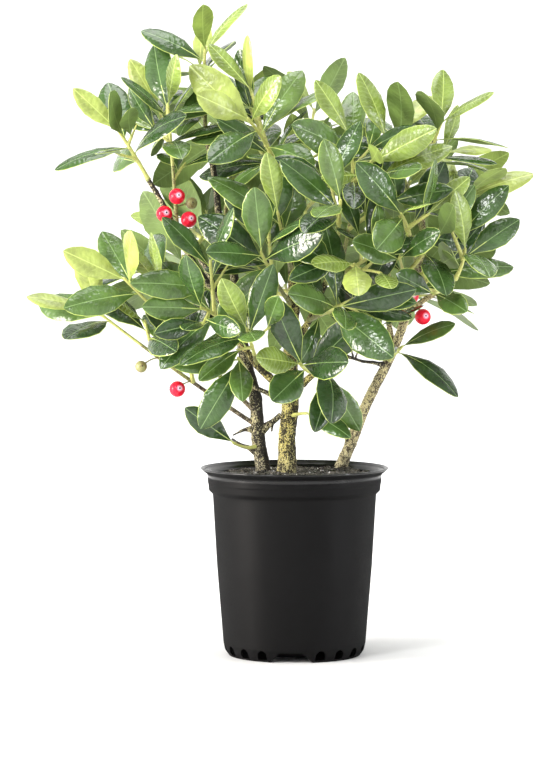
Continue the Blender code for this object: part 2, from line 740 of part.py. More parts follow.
def lathe(name, outline, material=None):
    """A solid turned round Z from an outline of (radius, height) that starts and ends on the axis."""
    shell = bmesh.new()
    verts = [shell.verts.new((r * MM, 0, z * MM)) for r, z in outline]
    edges = [shell.edges.new(pair) for pair in zip(verts, verts[1:])]
    bmesh.ops.spin(
        shell,
        geom=verts + edges,
        axis=(0, 0, 1),
        cent=(0, 0, 0),
        angle=2 * math.pi,
        steps=POT_SIDES,
        use_merge=True,
    )
    bmesh.ops.remove_doubles(shell, verts=shell.verts, dist=0.01 * MM)
    bmesh.ops.recalc_face_normals(shell, faces=shell.faces)
    mesh = bpy.data.meshes.new(name)
    shell.to_mesh(mesh)
    shell.free()
    if material:
        mesh.materials.append(material)
    made = bpy.data.objects.new(name, mesh)
    bpy.context.scene.collection.objects.link(made)
    return made


def turned(corners, degrees):
    """Corners turned round Z; 0 faces the front, -Y."""
    cos, sin = math.cos(math.radians(degrees)), math.sin(math.radians(degrees))
    x, y, z = np.array(corners, float).T
    return np.stack([x * cos - y * sin, x * sin + y * cos, z], 1)


PRISM_FACES = [(0, 1, 2, 3), (7, 6, 5, 4), (0, 4, 5, 1), (1, 5, 6, 2), (2, 6, 7, 3), (3, 7, 4, 0)]


def notch_blocks(grow):
    """Wedges under the pot's edge where its base is raised between the feet, grown by some millimetres."""
    blocks = []
    foot, top = NOTCH_FOOT_WIDTH / 2 + grow, NOTCH_TOP_WIDTH / 2 + grow
    low, high = -CUT_BELOW, NOTCH_HEIGHT + grow
    spread = foot + (foot - top) * CUT_BELOW / NOTCH_HEIGHT
    inner, outer = -(NOTCH_INNER_RADIUS - grow), -CUT_RADIUS
    section = ((-spread, low), (spread, low), (top, high), (-top, high))
    for k in range(NOTCHES):
        corners = [(x, inner, z) for x, z in section] + [(x, outer, z) for x, z in section]
        corners = turned(corners, NOTCH_BEARING + 360 * k / NOTCHES)
        blocks.append(make_object("notch", corners, PRISM_FACES))
    return blocks


def drain_blocks():
    """Upright slots through the foot of the wall, in rows between the notches."""
    blocks = []
    half, shoulder = DRAIN_WIDTH / 2, DRAIN_TOP - DRAIN_WIDTH / 3
    section = ((-half, DRAIN_FOOT), (half, DRAIN_FOOT), (half, shoulder), (0.0, DRAIN_TOP), (-half, shoulder))
    faces = [(0, 1, 2, 3, 4), (9, 8, 7, 6, 5)] + [(k, k + 5, (k + 1) % 5 + 5, (k + 1) % 5) for k in range(5)]
    middle = (DRAINS_BETWEEN_NOTCHES - 1) / 2
    for k in range(NOTCHES):
        for d in range(DRAINS_BETWEEN_NOTCHES):
            bearing = NOTCH_BEARING + 360 * (k + 0.5) / NOTCHES + DRAIN_SPACING * (d - middle)
            corners = [(x, -r, z) for r in (DRAIN_INNER_RADIUS, CUT_RADIUS) for x, z in section]
            blocks.append(make_object("drain", turned(corners, bearing), faces))
    return blocks


def cavity_outline(gap, top):
    """The inside of the pot drawn in by a gap, up to a height, as an outline for turning."""
    inside = [(r - gap, z + gap if z < 5 else z) for r, z in reversed(POT_INSIDE)]
    below = [(r, z) for r, z in inside if z < top]
    (r0, z0), (r1, z1) = below[-1], inside[len(below)]
    edge = r0 + (r1 - r0) * (top - z0) / (z1 - z0)
    return [(0.0, below[0][1]), *below, (edge, top), (0.0, top)]


def build_pot(plastic, compost):
    """The pot, a thin wall with a flared lip, a stepped collar, raised notches and drain slots; its soil."""
    pot = lathe("pot", [(0.0, 0.0), *POT_OUTSIDE, (0.0, POT_OUTSIDE[-1][1])], plastic)
    boolean(pot, "DIFFERENCE", notch_blocks(0.0))
    rim, top = POT_OUTSIDE[-1]
    inside = [(0.0, POT_INSIDE[-1][1]), *reversed(POT_INSIDE), (rim, top), (rim, top + 1.0), (0.0, top + 1.0)]
    cavity = lathe("cavity", inside)
    boolean(cavity, "DIFFERENCE", notch_blocks(POT_WALL))
    boolean(pot, "DIFFERENCE", [cavity])
    boolean(pot, "DIFFERENCE", drain_blocks())
    soil = lathe("soil", cavity_outline(SOIL_GAP, SOIL_TOP), compost)
    boolean(soil, "DIFFERENCE", notch_blocks(POT_WALL + SOIL_GAP))


def build_limbs(limbs, bark):
    for limb in LIMBS:
        path = limbs[limb.name]
        if limb.source == SOIL:
            corners, faces = tube(path, STEM_SIDES)
            corners[: STEM_SIDES + 1, 2] = SOIL_TOP + CLEARANCE
        else:
            corners, faces = tube(path, BOUGH_SIDES, joint_on(limbs, limb.source, limb.share))
        make_object(limb.name, corners, faces, bark)


def build_sprays(limbs, shoots, leaves, foliage):
    """Each spray's shoots, leaves and berries, joined into one solid."""
    for spray in SPRAYS:
        lead, *sides = shoots[spray.name]
        joint = joint_on(limbs, spray.limb, spray.share)
        base = make_object(spray.name, *tube(lead, TWIG_SIDES, joint, bud=BUD_LENGTH), foliage)
        parts = [make_object("side", *tube(side, TWIG_SIDES, bud=BUD_LENGTH)) for side in sides]
        parts += [make_object("leaf", *leaf_solid(leaf)) for leaf in leaves if leaf.spray == spray.name]
        for berry in BERRIES:
            if berry.spray == spray.name:
                centre = np.array(berry.centre, float)
                foot, _, _ = place_on(lead, berry.share)
                stalk = Path(np.array((foot, (foot + centre) / 2, centre)), np.full(3, STALK_RADIUS))
                parts.append(make_object("stalk", *tube(stalk, TWIG_SIDES)))
                radius = BERRY_RADIUS if berry.ripe else UNRIPE_RADIUS
                parts.append(make_object("berry", *ball(centre, radius)))
        boolean(base, "UNION", parts)
        drop_scraps(base)


def main():
    for old in list(bpy.data.objects):
        bpy.data.objects.remove(old)
    plastic = make_material("black pot plastic", (0.018, 0.017, 0.017), 0.42)
    compost = make_material("potting soil", (0.035, 0.022, 0.014), 0.95)
    bark = make_material("speckled bark", (0.30, 0.25, 0.11), 0.8)
    foliage = make_material("holly leaf", (0.045, 0.16, 0.035), 0.3)
    build_pot(plastic, compost)
    limbs = grow_limbs()
    build_limbs(limbs, bark)
    shoots = grow_shoots(limbs)
    leaves = grow_leaves(limbs, shoots, BERRIES)
    build_sprays(limbs, shoots, leaves, foliage)
    for made in bpy.data.objects:
        shade(made)
    print(len(leaves), "leaves on", sum(len(own) for own in shoots.values()), "shoots")


main()
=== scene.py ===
"""The looks of a dwarf holly with glossy evergreen leaves and red berries, in its round nursery pot.

Lengths are in millimetres until a mesh is made. +Z is up, the origin lies on the ground under the middle of
the pot and the plant's front faces -Y. The limbs, shoots and leaves grow by the same rule and from the same
named sizes as the solids that they stand for, and go on into finer twigs within the same reach.
"""

import json
import math
import random
from typing import NamedTuple

import bpy
import numpy as np
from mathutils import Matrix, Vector
from mathutils.bvhtree import BVHTree

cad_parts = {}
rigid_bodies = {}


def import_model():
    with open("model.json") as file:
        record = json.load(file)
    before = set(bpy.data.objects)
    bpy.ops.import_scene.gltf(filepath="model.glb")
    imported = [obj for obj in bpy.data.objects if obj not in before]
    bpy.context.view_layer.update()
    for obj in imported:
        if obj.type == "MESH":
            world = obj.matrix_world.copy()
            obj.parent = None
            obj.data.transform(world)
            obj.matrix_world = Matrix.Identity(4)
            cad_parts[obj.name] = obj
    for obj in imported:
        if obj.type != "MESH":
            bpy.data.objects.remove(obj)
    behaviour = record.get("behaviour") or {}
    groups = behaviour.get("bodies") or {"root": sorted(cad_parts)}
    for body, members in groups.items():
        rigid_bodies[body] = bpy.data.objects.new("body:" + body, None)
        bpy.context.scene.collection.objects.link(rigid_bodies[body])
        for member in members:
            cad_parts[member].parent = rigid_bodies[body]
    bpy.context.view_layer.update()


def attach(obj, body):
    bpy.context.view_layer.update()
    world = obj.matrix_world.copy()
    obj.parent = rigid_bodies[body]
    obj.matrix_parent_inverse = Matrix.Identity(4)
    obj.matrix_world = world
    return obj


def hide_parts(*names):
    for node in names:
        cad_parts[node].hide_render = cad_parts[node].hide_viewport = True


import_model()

MM = 0.001
UP = np.array((0.0, 0.0, 1.0))
GOLDEN_TURN = math.radians(137.5)

# Pot
POT_SIDES = 180
POT_WALL = 1.6
POT_OUTSIDE = (
    (57.8, 0.0), (61.0, 4.4), (62.5, 10.6), (68.0, 78.0), (71.6, 139.6), (72.0, 142.0), (75.2, 144.9),
    (75.6, 150.6), (76.1, 151.6), (76.3, 158.2), (77.4, 160.0), (80.2, 161.9), (82.5, 164.0), (82.2, 164.8),
    (81.2, 165.0),
)
POT_INSIDE = (
    (78.9, 163.0), (76.3, 161.3), (74.8, 159.0), (74.6, 152.2), (74.1, 151.2), (73.7, 146.0), (70.5, 142.9),
    (70.0, 139.6), (66.4, 78.0), (60.9, 9.0), (57.6, 1.8),
)
CORNER_CUT = 0.9
CORNER_STEPS = 4
NOTCHES = 3
NOTCH_BEARING = -3.3
NOTCH_HEIGHT = 8.8
NOTCH_FOOT_WIDTH = 37.0
NOTCH_TOP_WIDTH = 20.0
NOTCH_INNER_RADIUS = 22.0
CUT_BELOW = 5.0
CUT_RADIUS = 90.0
DRAINS_BETWEEN_NOTCHES = 5
DRAIN_SPACING = 17.75
DRAIN_WIDTH = 9.0
DRAIN_FOOT = 1.9
DRAIN_TOP = 10.2
DRAIN_INNER_RADIUS = 56.5

# Potting soil
SOIL_TOP = 159.5
SOIL_EDGE = 74.4
SOIL_DEPTH = 6.0
EDGE_DIP = 4.0
SOIL_SIDES = 120
SOIL_RINGS = 34
CHIPS = 420
WHITE_GRAINS = 60
CHIP_SIZES = ((1.5, 5.0), (1.0, 2.4), (0.4, 1.0))
GRAIN_SIZES = ((0.5, 1.1),)

# Wood
CLEARANCE = 0.3
LIMB_STEP = 26.0
BARK_STEP = 1.6
STEM_SIDES = 30
BOUGH_SIDES = 18
ROOT_FLARE = 0.08
BOW = 0.45
CROOK = 0.012

# Shoots
TWIG_SIDES = 8
TWIG_STEP = 20.0
TWIG_RING = 1.6
TWIG_FOOT_RADIUS = 2.1
TWIG_TIP_RADIUS = 1.4
SIDE_SHARE = 0.62
SIDE_STEP = 0.2
SIDE_TURN = 140.0
SIDE_RETURN = 60.0
SIDE_TRIES = 6
SIDE_AHEAD = 0.62
SIDE_ASIDE = 0.8
SIDE_OUTWARD = 0.2
SIDE_UPWARD = 0.25
SIDE_CLEAR_FROM = 4
LOWEST_AIM = -0.1
LEAD_START = 12.0
WOOD_ROOM = 1.2
WOOD_SAMPLE = 1.5

# Leaves. LEAF_SIZES is a leaf's length by its place behind the shoot's tip, as a share of LEAF_LENGTH
LEAF_LENGTH = 62.0
LEAF_WIDTH = 0.43
LEAF_SIZES = (0.84, 0.95, 1.04, 1.08, 1.06, 1.0, 0.94, 0.88, 0.82)
SIZE_CHANCE = 0.12
WIDEST = 0.55
BASE_SLENDER = 1.15
TIP_BLUNT = 0.56
PETIOLE = 5.0
PETIOLE_RADIUS = 0.75
LEAF_TRIES = 5
TIP_GAP = 1.2
LEAF_SPACING = 4.3
LEAF_SPACING_GROWTH = 1.25
LEAFY_SHARE = 0.8
TURN_CHANCE = 0.3
FIRST_SPREAD = 30.0
SPREAD_STEP = 9.0
WIDEST_SPREAD = 78.0
SPREAD_CHANCE = 9.0
LEAF_OUTWARD = 0.12
LEAF_LIFT = 0.16
LIFT_LOSS = 0.03
LIFT_OF_HANGING = 0.5
FACE_AHEAD = 0.45
FACE_UPWARD = 0.5
FACE_OUTWARD = 0.3
FACE_ASIDE = 0.05
FACE_FRONT = 0.7
FRONT_FROM = 30.0
FRONT_DEPTH = 60.0
ROLL_CHANCE = 0.6
FIRST_BEND = 10.0
BEND_STEP = 5.0
BEND_CHANCE = (-4.0, 16.0)
DROOP_BEND = 0.7
BLADE_RISE = 0.30
BLADE_ROLL = 0.42
LEAF_CLEARANCE = 2.6
SPRAY_CLEARANCE = 0.9
RIM_CLEARANCE = 1.5

# Leaf detail
LEAF_THICKNESS = 0.45
MARGIN_WIDTH = 0.45
MIDRIB_WIDTH = 0.8
EDGE_WAVE = 0.045
LEAF_ROWS = (0.0, 0.14, 0.34, 0.56, 0.76, 0.9, 0.975)
TIP_POINT = 1.01
VEIN_SPACING = 5.0
VEIN_LEAN = 0.62
VEIN_WOBBLE = 5.0
VEIN_SHARPNESS = 6.0
VALLEY_WIDTH = 2.4
RIB_LINE = 0.45
PUCKER_SCALE = 14.0
UV_SPAN = 100.0

# Bark: how far the level of its specks rises and falls from patch to patch, and which way the side with painted
# shade faces
PATCHINESS = 0.05
PAINTED_SHADE_SIDE = np.array((0.97, -0.1, 0.2))

# Soil splashed on the bark: the heights in metres over which it thins out, and the most of it
SPLASHED = (0.150, 0.186)
SPLASH_AMOUNT = 0.7
SPLASH_COLOUR = (0.24, 0.22, 0.17)

# Gloss of the pot, in metres: over the lip's heights, and round the shoulder's height
LIP_GLOSS = (0.1628, 0.1636)
SHOULDER = 0.1576
SHOULDER_GLOSS = (0.0006, 0.0018)
MOULD_RINGS = 900.0

# Finer twigs
FINE_SHARES = (0.45, 0.7)
FINE_LENGTH = 20.0
FINE_LEAVES = 3
FINE_SIZE = 0.8
FINE_THICKNESS = 0.75
FINE_TURN = 70.0
FINE_AHEAD = 0.5
FINE_ASIDE = 0.9
FINE_UPWARD = 0.3
LEAST_LEAVES = 6

# Berries
BERRY_RADIUS = 7.0
UNRIPE_RADIUS = 5.2
STALK_RADIUS = 0.75

# Studio. The camera's place is in metres, and its tilt is how far it looks down
CAMERA_PLACE = (-0.0246, -2.80, 0.398)
CAMERA_TILT = 3.237
CAMERA_LENS = 150.8
CAMERA_SENSOR = 36.0
FLOOR_RADIUS = 3800.0
ROOM_BEND = 2800.0
ROOM_HEIGHT = 7000.0
ROOM_SIDES = 96
ROOM_LIGHT = 0.6
WALL_LAMPS = 6


class Limb(NamedTuple):
    """A stem or bough: what it grows from and where, its tip, its radii, and how steeply it sets off."""

    name: str
    source: str
    share: float
    foot: tuple
    tip: tuple
    foot_radius: float
    tip_radius: float
    rise: float


class Spray(NamedTuple):
    """A mass of leaves: its limb and where, its leading shoot's tip, how it branches and its young leaves."""

    name: str
    limb: str
    share: float
    tip: tuple
    rise: float
    sides: int
    side_length: float
    leaves: int
    turn: float
    droop: float
    seed: int
    young: int


class Berry(NamedTuple):
    """A berry of a spray: the share of the leading shoot where its stalk starts, and its centre."""

    spray: str
    share: float
    centre: tuple
    ripe: bool


class Path(NamedTuple):
    """A limb's or a shoot's centre line with its radii."""

    points: np.ndarray
    radii: np.ndarray


class Joint(NamedTuple):
    """Where a limb or shoot leaves older wood: a point on its centre line, its direction and its radius."""

    point: np.ndarray
    direction: np.ndarray
    radius: float
    at_end: bool


class Leaf(NamedTuple):
    """A leaf: its shoot and rank, its root, its directions, its sizes and its midrib's bend."""

    spray: str
    shoot: int
    rank: int
    root: np.ndarray
    along: np.ndarray
    face: np.ndarray
    length: float
    width: float
    bend: float


SOIL = "soil"

LIMBS = (
    Limb("stem_left", SOIL, 0.0, (-27, 2), (-47, 5, 283), 6.5, 4.7, 0.25),
    Limb("stem_middle", SOIL, 0.0, (-7, -3), (-3, 0, 270), 8.2, 6.4, 0.1),
    Limb("stem_right", SOIL, 0.0, (41, 44), (107, 30, 316), 5.4, 3.5, 0.0),
    Limb("left_leader", "stem_left", 1.0, (), (-77, 16, 452), 4.4, 2.2, 0.25),
    Limb("left_bough", "stem_left", 0.93, (), (-127, -16, 416), 3.0, 2.1, 0.0),
    Limb("back_left_bough", "stem_left", 0.84, (), (-88, 74, 352), 3.1, 2.2, 0.2),
    Limb("middle_leader", "stem_middle", 1.0, (), (-6, 8, 392), 4.8, 2.6, 0.1),
    Limb("fork_left", "stem_middle", 0.62, (), (-52, -30, 284), 4.0, 2.6, -0.2),
    Limb("fork_right", "stem_middle", 0.66, (), (21, -18, 252), 4.0, 2.4, -0.2),
    Limb("middle_right_bough", "stem_middle", 0.93, (), (42, -14, 352), 3.2, 2.3, 0.15),
    Limb("back_middle_bough", "stem_middle", 0.86, (), (10, 84, 344), 3.3, 2.3, 0.2),
    Limb("right_leader", "stem_right", 1.0, (), (113, 16, 402), 3.3, 2.1, 0.35),
    Limb("right_bough", "stem_right", 0.9, (), (140, -6, 330), 2.6, 1.9, 0.0),
    Limb("back_right_bough", "stem_right", 0.66, (), (84, 92, 346), 2.8, 2.0, 0.2),
)

# Dead twigs without leaves round the stems' feet
BARE_TWIGS = (
    Limb("bar", "stem_left", 0.28, (), (-12, -1, 211), 2.9, 2.4, 0.0),
    Limb("bar_stub", "bar", 0.6, (), (-20, -6, 197), 1.2, 0.9, -0.2),
    Limb("arched_twig", "stem_left", 0.30, (), (-54, -3, 193), 1.2, 0.7, 0.35),
    Limb("foot_twig", "stem_left", 0.14, (), (-55, -4, 190), 1.4, 0.7, -0.1),
    Limb("thin_fork", "stem_middle", 0.58, (), (-45, -9, 242), 2.3, 1.8, -0.2),
    Limb("stick", "stem_right", 0.12, (), (39, 36, 204), 1.3, 0.8, 0.5),
    Limb("dark_twig", "stem_right", 0.60, (), (47, 18, 261), 1.5, 1.3, -0.1),
    Limb("spur_1", "dark_twig", 0.86, (), (49, 12, 269), 1.1, 0.5, 0.5),
    Limb("spur_2", "dark_twig", 0.93, (), (41, 14, 264), 1.1, 0.5, 0.2),
    Limb("spur_3", "dark_twig", 0.80, (), (57, 12, 267), 1.0, 0.5, 0.5),
)

SPRAYS = (
    Spray("spray_top", "left_leader", 1.0, (-78, 0, 530), 0.0, 0, 34, 9, 240, 0.1, 3, 2),
    Spray("spray_crest_left", "left_bough", 0.68, (-110, -24, 480), 0.2, 1, 42, 6, 320, 0.0, 93, 1),
    Spray("spray_shoulder_left", "left_bough", 1.0, (-152, -31, 458), 0.2, 0, 36, 7, 140, 0.0, 211, 1),
    Spray("spray_arch_left", "stem_left", 0.42, (-145, -68, 331), 0.0, 2, 40, 6, 170, 0.0, 238, 2),
    Spray("spray_sweep_left", "stem_left", 0.33, (-174, -36, 305), -0.05, 2, 34, 5, 200, 0.0, 149, 2),
    Spray("spray_base_left", "stem_left", 0.2, (-53, -25, 188), -0.3, 0, 30, 2, 60, 0.35, 12, 0),
    Spray("spray_elbow_left", "left_bough", 0.3, (-138, -8, 341), 0.0, 0, 40, 5, 240, 0.0, 269, 1),
    Spray("spray_inner_left", "fork_left", 1.0, (-80, -69, 307), 0.1, 1, 44, 7, 0, 0.0, 106, 0),
    Spray("spray_front_left", "fork_left", 0.55, (-41, -82, 289), 0.0, 0, 28, 6, 80, 0.0, 12, 1),
    Spray("spray_low_left", "stem_left", 0.62, (-49, -48, 263), 0.2, 0, 34, 3, 270, 0.9, 251, 0),
    Spray("spray_front_low", "fork_right", 0.9, (4, -66, 259), -0.2, 0, 32, 5, 150, 0.0, 237, 1),
    Spray("spray_hanging", "fork_right", 1.0, (28, -30, 244), 0.1, 0, 26, 5, 110, 0.6, 275, 0),
    Spray("spray_drop", "stem_middle", 0.45, (10, -28, 214), 0.1, 0, 20, 2, 0, 0.9, 22, 0),
    Spray("spray_front_middle", "middle_right_bough", 0.35, (38, -86, 309), 0.0, 1, 36, 9, 160, 0.1, 137, 0),
    Spray("spray_low_middle", "stem_right", 0.7, (73, -16, 292), -0.3, 0, 30, 3, 130, 0.0, 390, 0),
    Spray("spray_front_bright", "middle_right_bough", 0.7, (72, -81, 337), 0.3, 2, 30, 7, 90, 0.2, 104, 3),
    Spray("spray_crown_left", "middle_leader", 1.0, (-40, -52, 468), 0.2, 3, 48, 9, 160, 0.0, 175, 3),
    Spray("spray_crown_middle", "middle_right_bough", 1.0, (47, -43, 454), 0.4, 3, 44, 9, 140, 0.0, 183, 2),
    Spray("spray_heart_left", "middle_leader", 0.55, (-15, -76, 388), -0.1, 0, 54, 9, 40, 0.1, 22, 1),
    Spray("spray_heart_low", "middle_leader", 0.3, (-29, -76, 354), -0.1, 1, 36, 6, 20, 0.0, 370, 0),
    Spray("spray_heart_right", "middle_right_bough", 0.9, (38, -89, 398), 0.1, 1, 34, 7, 40, 0.1, 33, 0),
    Spray("spray_crown_right", "right_leader", 1.0, (128, -6, 467), 0.4, 0, 34, 9, 220, 0.0, 35, 2),
    Spray("spray_inner_right", "right_leader", 0.62, (78, -34, 451), 0.3, 1, 40, 8, 60, 0.2, 140, 1),
    Spray("spray_shoulder_right", "right_leader", 0.4, (152, -7, 405), 0.1, 0, 36, 7, 120, 0.0, 364, 2),
    Spray("spray_centre_right", "right_leader", 0.15, (90, -72, 387), 0.4, 2, 24, 9, 290, 0.0, 286, 1),
    Spray("spray_elbow_right", "right_bough", 1.0, (147, -32, 356), 0.3, 1, 30, 4, 70, 0.3, 213, 1),
    Spray("spray_low_right", "right_bough", 0.7, (119, -49, 318), 0.0, 1, 28, 3, 90, 0.0, 23, 0),
    Spray("spray_front_right", "stem_right", 0.93, (89, -70, 349), 0.1, 3, 48, 7, 320, 0.1, 331, 0),
    Spray("spray_stem_right", "stem_right", 0.62, (94, 6, 270), 0.0, 0, 30, 3, 320, 0.3, 193, 0),
    Spray("spray_back_low_right", "back_right_bough", 0.5, (120, 74, 322), -0.2, 2, 44, 9, 50, 0.1, 49, 0),
    Spray("spray_back_right", "back_right_bough", 1.0, (105, 103, 414), 0.4, 2, 52, 7, 20, 0.4, 329, 1),
    Spray("spray_back_crown", "middle_leader", 0.6, (18, 78, 479), 0.1, 0, 42, 8, 260, 0.2, 79, 1),
    Spray("spray_back_middle", "back_middle_bough", 1.0, (9, 132, 420), -0.1, 1, 46, 9, 320, 0.3, 149, 1),
    Spray("spray_back_low", "back_middle_bough", 0.55, (-8, 125, 321), -0.1, 2, 48, 7, 60, 0.0, 218, 0),
    Spray("spray_back_left", "back_left_bough", 1.0, (-64, 112, 376), 0.1, 2, 36, 7, 110, 0.0, 123, 1),
    Spray("spray_back_low_left", "back_left_bough", 0.6, (-113, 92, 326), 0.1, 1, 40, 7, 40, 0.0, 388, 0),
    Spray("spray_back_crest_left", "left_leader", 0.5, (-48, 67, 472), 0.3, 1, 54, 9, 20, 0.4, 312, 1),
)

BERRIES = (
    Berry("spray_crest_left", 0.26, (-102, -27, 402), True),
    Berry("spray_crest_left", 0.12, (-113, -27, 387), True),
    Berry("spray_crest_left", 0.12, (-92, -22, 382), True),
    Berry("spray_crest_left", 0.2, (-90, -8, 396), False),
    Berry("spray_crest_left", 0.08, (-100, -31, 373), False),
    Berry("spray_sweep_left", 0.4, (-102, -26, 235), True),
    Berry("spray_sweep_left", 0.6, (-133, -36, 255), False),
    Berry("spray_front_right", 0.45, (100, -36, 316), True),
    Berry("spray_front_right", 0.2, (112, -5, 297), True),
)


# Growth, by the rule that the solids follow


def unit(vector):
    return vector / np.linalg.norm(vector)


def square_to(vector, axis):
    """The part of vector that is square to axis, as a unit vector."""
    return unit(vector - axis * np.dot(vector, axis))


def turned_about(vector, axis, angle):
    """A vector that is square to axis, turned round it."""
    return vector * math.cos(angle) + np.cross(axis, vector) * math.sin(angle)


def outward_from(point):
    """The level direction from the pot's middle to a point."""
    return unit(np.array((point[0], point[1], 0.0)) + 1e-6)


def turns_of(sides):
    """Angles of points spread evenly round a circle."""
    return np.arange(sides) * 2 * math.pi / sides


def bowed(start, end, rise, step, joint=None):
    """Points from start to end along a curve that sets off with the share rise of its heading straight up.

    It is (1-t)^2 start + 2t(1-t) middle + t^2 end, with the middle point out along the first heading. From
    the end of older wood the heading is halfway between that wood's direction and its own.
    """
    reach = np.linalg.norm(end - start)
    heading = unit((1 - abs(rise)) * (end - start) / reach + rise * UP)
    if joint and joint.at_end:
        heading = unit(heading + joint.direction)
    middle = start + heading * reach * BOW
    count = max(3, round(reach / step)) + 1
    t = np.linspace(0, 1, count)[:, None]
    return (1 - t) ** 2 * start + 2 * t * (1 - t) * middle + t**2 * end


def lengths_of(path):
    """Distance along a path to each of its points."""
    return np.concatenate([[0.0], np.cumsum(np.linalg.norm(np.diff(path.points, axis=0), axis=1))])


def sampled(path, shares):
    """Points and radii at shares of a path's length."""
    lengths = lengths_of(path)
    at = np.asarray(shares) * lengths[-1]
    points = np.stack([np.interp(at, lengths, path.points[:, axis]) for axis in range(3)], -1)
    return points, np.interp(at, lengths, path.radii)


def place_on(path, share):
    """Point, direction and radius at a share of a path's length."""
    lengths = lengths_of(path)
    k = min(int(np.searchsorted(lengths, share * lengths[-1], side="right")) - 1, len(lengths) - 2)
    point, radius = sampled(path, share)
    return point, unit(path.points[k + 1] - path.points[k]), float(radius)


def crooked(points, seed):
    """The points moved a little aside, as wood that grew from bud to bud, with both ends kept.

    The shift is CROOK of the reach, times a slow sine of the share along, times a sine that is 0 at each end.
    """
    rng = random.Random(seed)
    axis = unit(points[-1] - points[0])
    aside = square_to(np.array((rng.uniform(-1, 1), rng.uniform(-1, 1), 0.2)), axis)
    other = np.cross(axis, aside)
    s = np.linspace(0, 1, len(points))
    reach = np.linalg.norm(points[-1] - points[0]) * CROOK
    wave = np.sin(s * math.pi * 3 + rng.uniform(0, 6)) * np.sin(s * math.pi)
    sway = np.sin(s * math.pi * 2 + rng.uniform(0, 6)) * np.sin(s * math.pi)
    return points + reach * (wave[:, None] * aside + sway[:, None] * other)


def joint_on(paths, name, share):
    point, direction, radius = place_on(paths[name], share)
    return Joint(point, direction, radius, share == 1.0)


def limb_path(number, limb, joint, step):
    """A limb's centre line and radii, from its foot in the soil or on the limb that it leaves."""
    start = joint.point if joint else np.array((*limb.foot, SOIL_TOP + CLEARANCE))
    points = crooked(bowed(start, np.array(limb.tip, float), limb.rise, step, joint), number)
    s = np.linspace(0, 1, len(points))
    return Path(points, limb.foot_radius + (limb.tip_radius - limb.foot_radius) * s)


def grow_limbs():
    """Each limb's path and its joint, by name."""
    paths, joints = {}, {}
    for number, limb in enumerate(LIMBS):
        joint = None if limb.source == SOIL else joint_on(paths, limb.source, limb.share)
        path = limb_path(number, limb, joint, LIMB_STEP)
        if limb.source == SOIL:
            points = np.insert(path.points, 1, path.points[0] * 0.6 + path.points[1] * 0.4, axis=0)
            radii = np.insert(path.radii, 1, path.radii[0])
            radii[0] *= 1 + ROOT_FLARE
            path = Path(points, radii)
        paths[limb.name] = path
        joints[limb.name] = joint
    return paths, joints


def shoot_path(start, end, rise, joint=None):
    points = bowed(start, end, rise, TWIG_STEP, joint)
    return Path(points, np.linspace(TWIG_FOOT_RADIUS, TWIG_TIP_RADIUS, len(points)))


def crossing(points, radius, wood):
    """True where a path comes too near wood that is already there. wood is a list of (points, radii)."""
    for other, radii in wood:
        gaps = np.linalg.norm(points[:, None] - other[None], axis=2) - radii[None]
        if gaps.min() < radius + WOOD_ROOM:
            return True
    return False


def dense(path):
    """The path's points a millimetre or two apart, with their radii."""
    count = max(4, int(lengths_of(path)[-1] / WOOD_SAMPLE))
    return sampled(path, np.linspace(0, 1, count))


def grow_shoots(limbs):
    """The shoots of each spray: a leading one from the limb to the named tip, then sides that fork off."""
    wood = [dense(path) for path in limbs.values()]
    shoots = {}
    for spray in SPRAYS:
        joint = joint_on(limbs, spray.limb, spray.share)
        lead = shoot_path(joint.point, np.array(spray.tip, float), spray.rise, joint)
        points, radii = dense(lead)
        outside = np.linalg.norm(points - joint.point, axis=1) > joint.radius + LEAD_START
        wood.append((points[outside], radii[outside]))
        shoots[spray.name] = [lead]
    for spray in SPRAYS:
        for k in range(spray.sides):
            side = side_shoot(spray, shoots[spray.name][0], k, wood)
            if side:
                shoots[spray.name].append(side)
                wood.append(dense(side))
    return shoots, wood


def side_shoot(spray, lead, k, wood):
    """The k-th shoot that forks from a leading one, at the first of a few turns where it stays clear."""
    rng = random.Random(spray.seed * 100 + k)
    foot, heading, _ = place_on(lead, SIDE_SHARE - SIDE_STEP * k + rng.uniform(-0.05, 0.05))
    for attempt in range(SIDE_TRIES):
        turn = math.radians(spray.turn + SIDE_TURN * k + SIDE_RETURN * attempt)
        aside = turned_about(square_to(UP + 0.3 * heading[::-1], heading), heading, turn)
        aim = SIDE_AHEAD * heading + SIDE_ASIDE * aside + SIDE_OUTWARD * outward_from(foot) + SIDE_UPWARD * UP
        aim = unit(aim)
        side = shoot_path(foot, foot + aim * spray.side_length * rng.uniform(0.9, 1.15), 0.0)
        points, _ = dense(side)
        if aim[2] > LOWEST_AIM and not crossing(points[SIDE_CLEAR_FROM:], TWIG_TIP_RADIUS, wood):
            return side
    return None


def fine_twig(spray, shoot, k, share, wood):
    """A short twig from a shoot, turned by the golden angle from the last one, or None where wood is near."""
    rng = random.Random(spray.seed * 7919 + k)
    foot, heading, _ = place_on(shoot, share + rng.uniform(-0.06, 0.06))
    turn = math.radians(spray.turn + FINE_TURN) + k * GOLDEN_TURN
    aside = turned_about(square_to(UP + 0.3 * heading[::-1], heading), heading, turn)
    aim = unit(FINE_AHEAD * heading + FINE_ASIDE * aside + FINE_UPWARD * UP)
    twig = shoot_path(foot, foot + aim * FINE_LENGTH * rng.uniform(0.8, 1.3), 0.0)
    points, _ = dense(twig)
    if crossing(points[SIDE_CLEAR_FROM:], TWIG_TIP_RADIUS, wood):
        return None
    return Path(twig.points, twig.radii * FINE_THICKNESS)


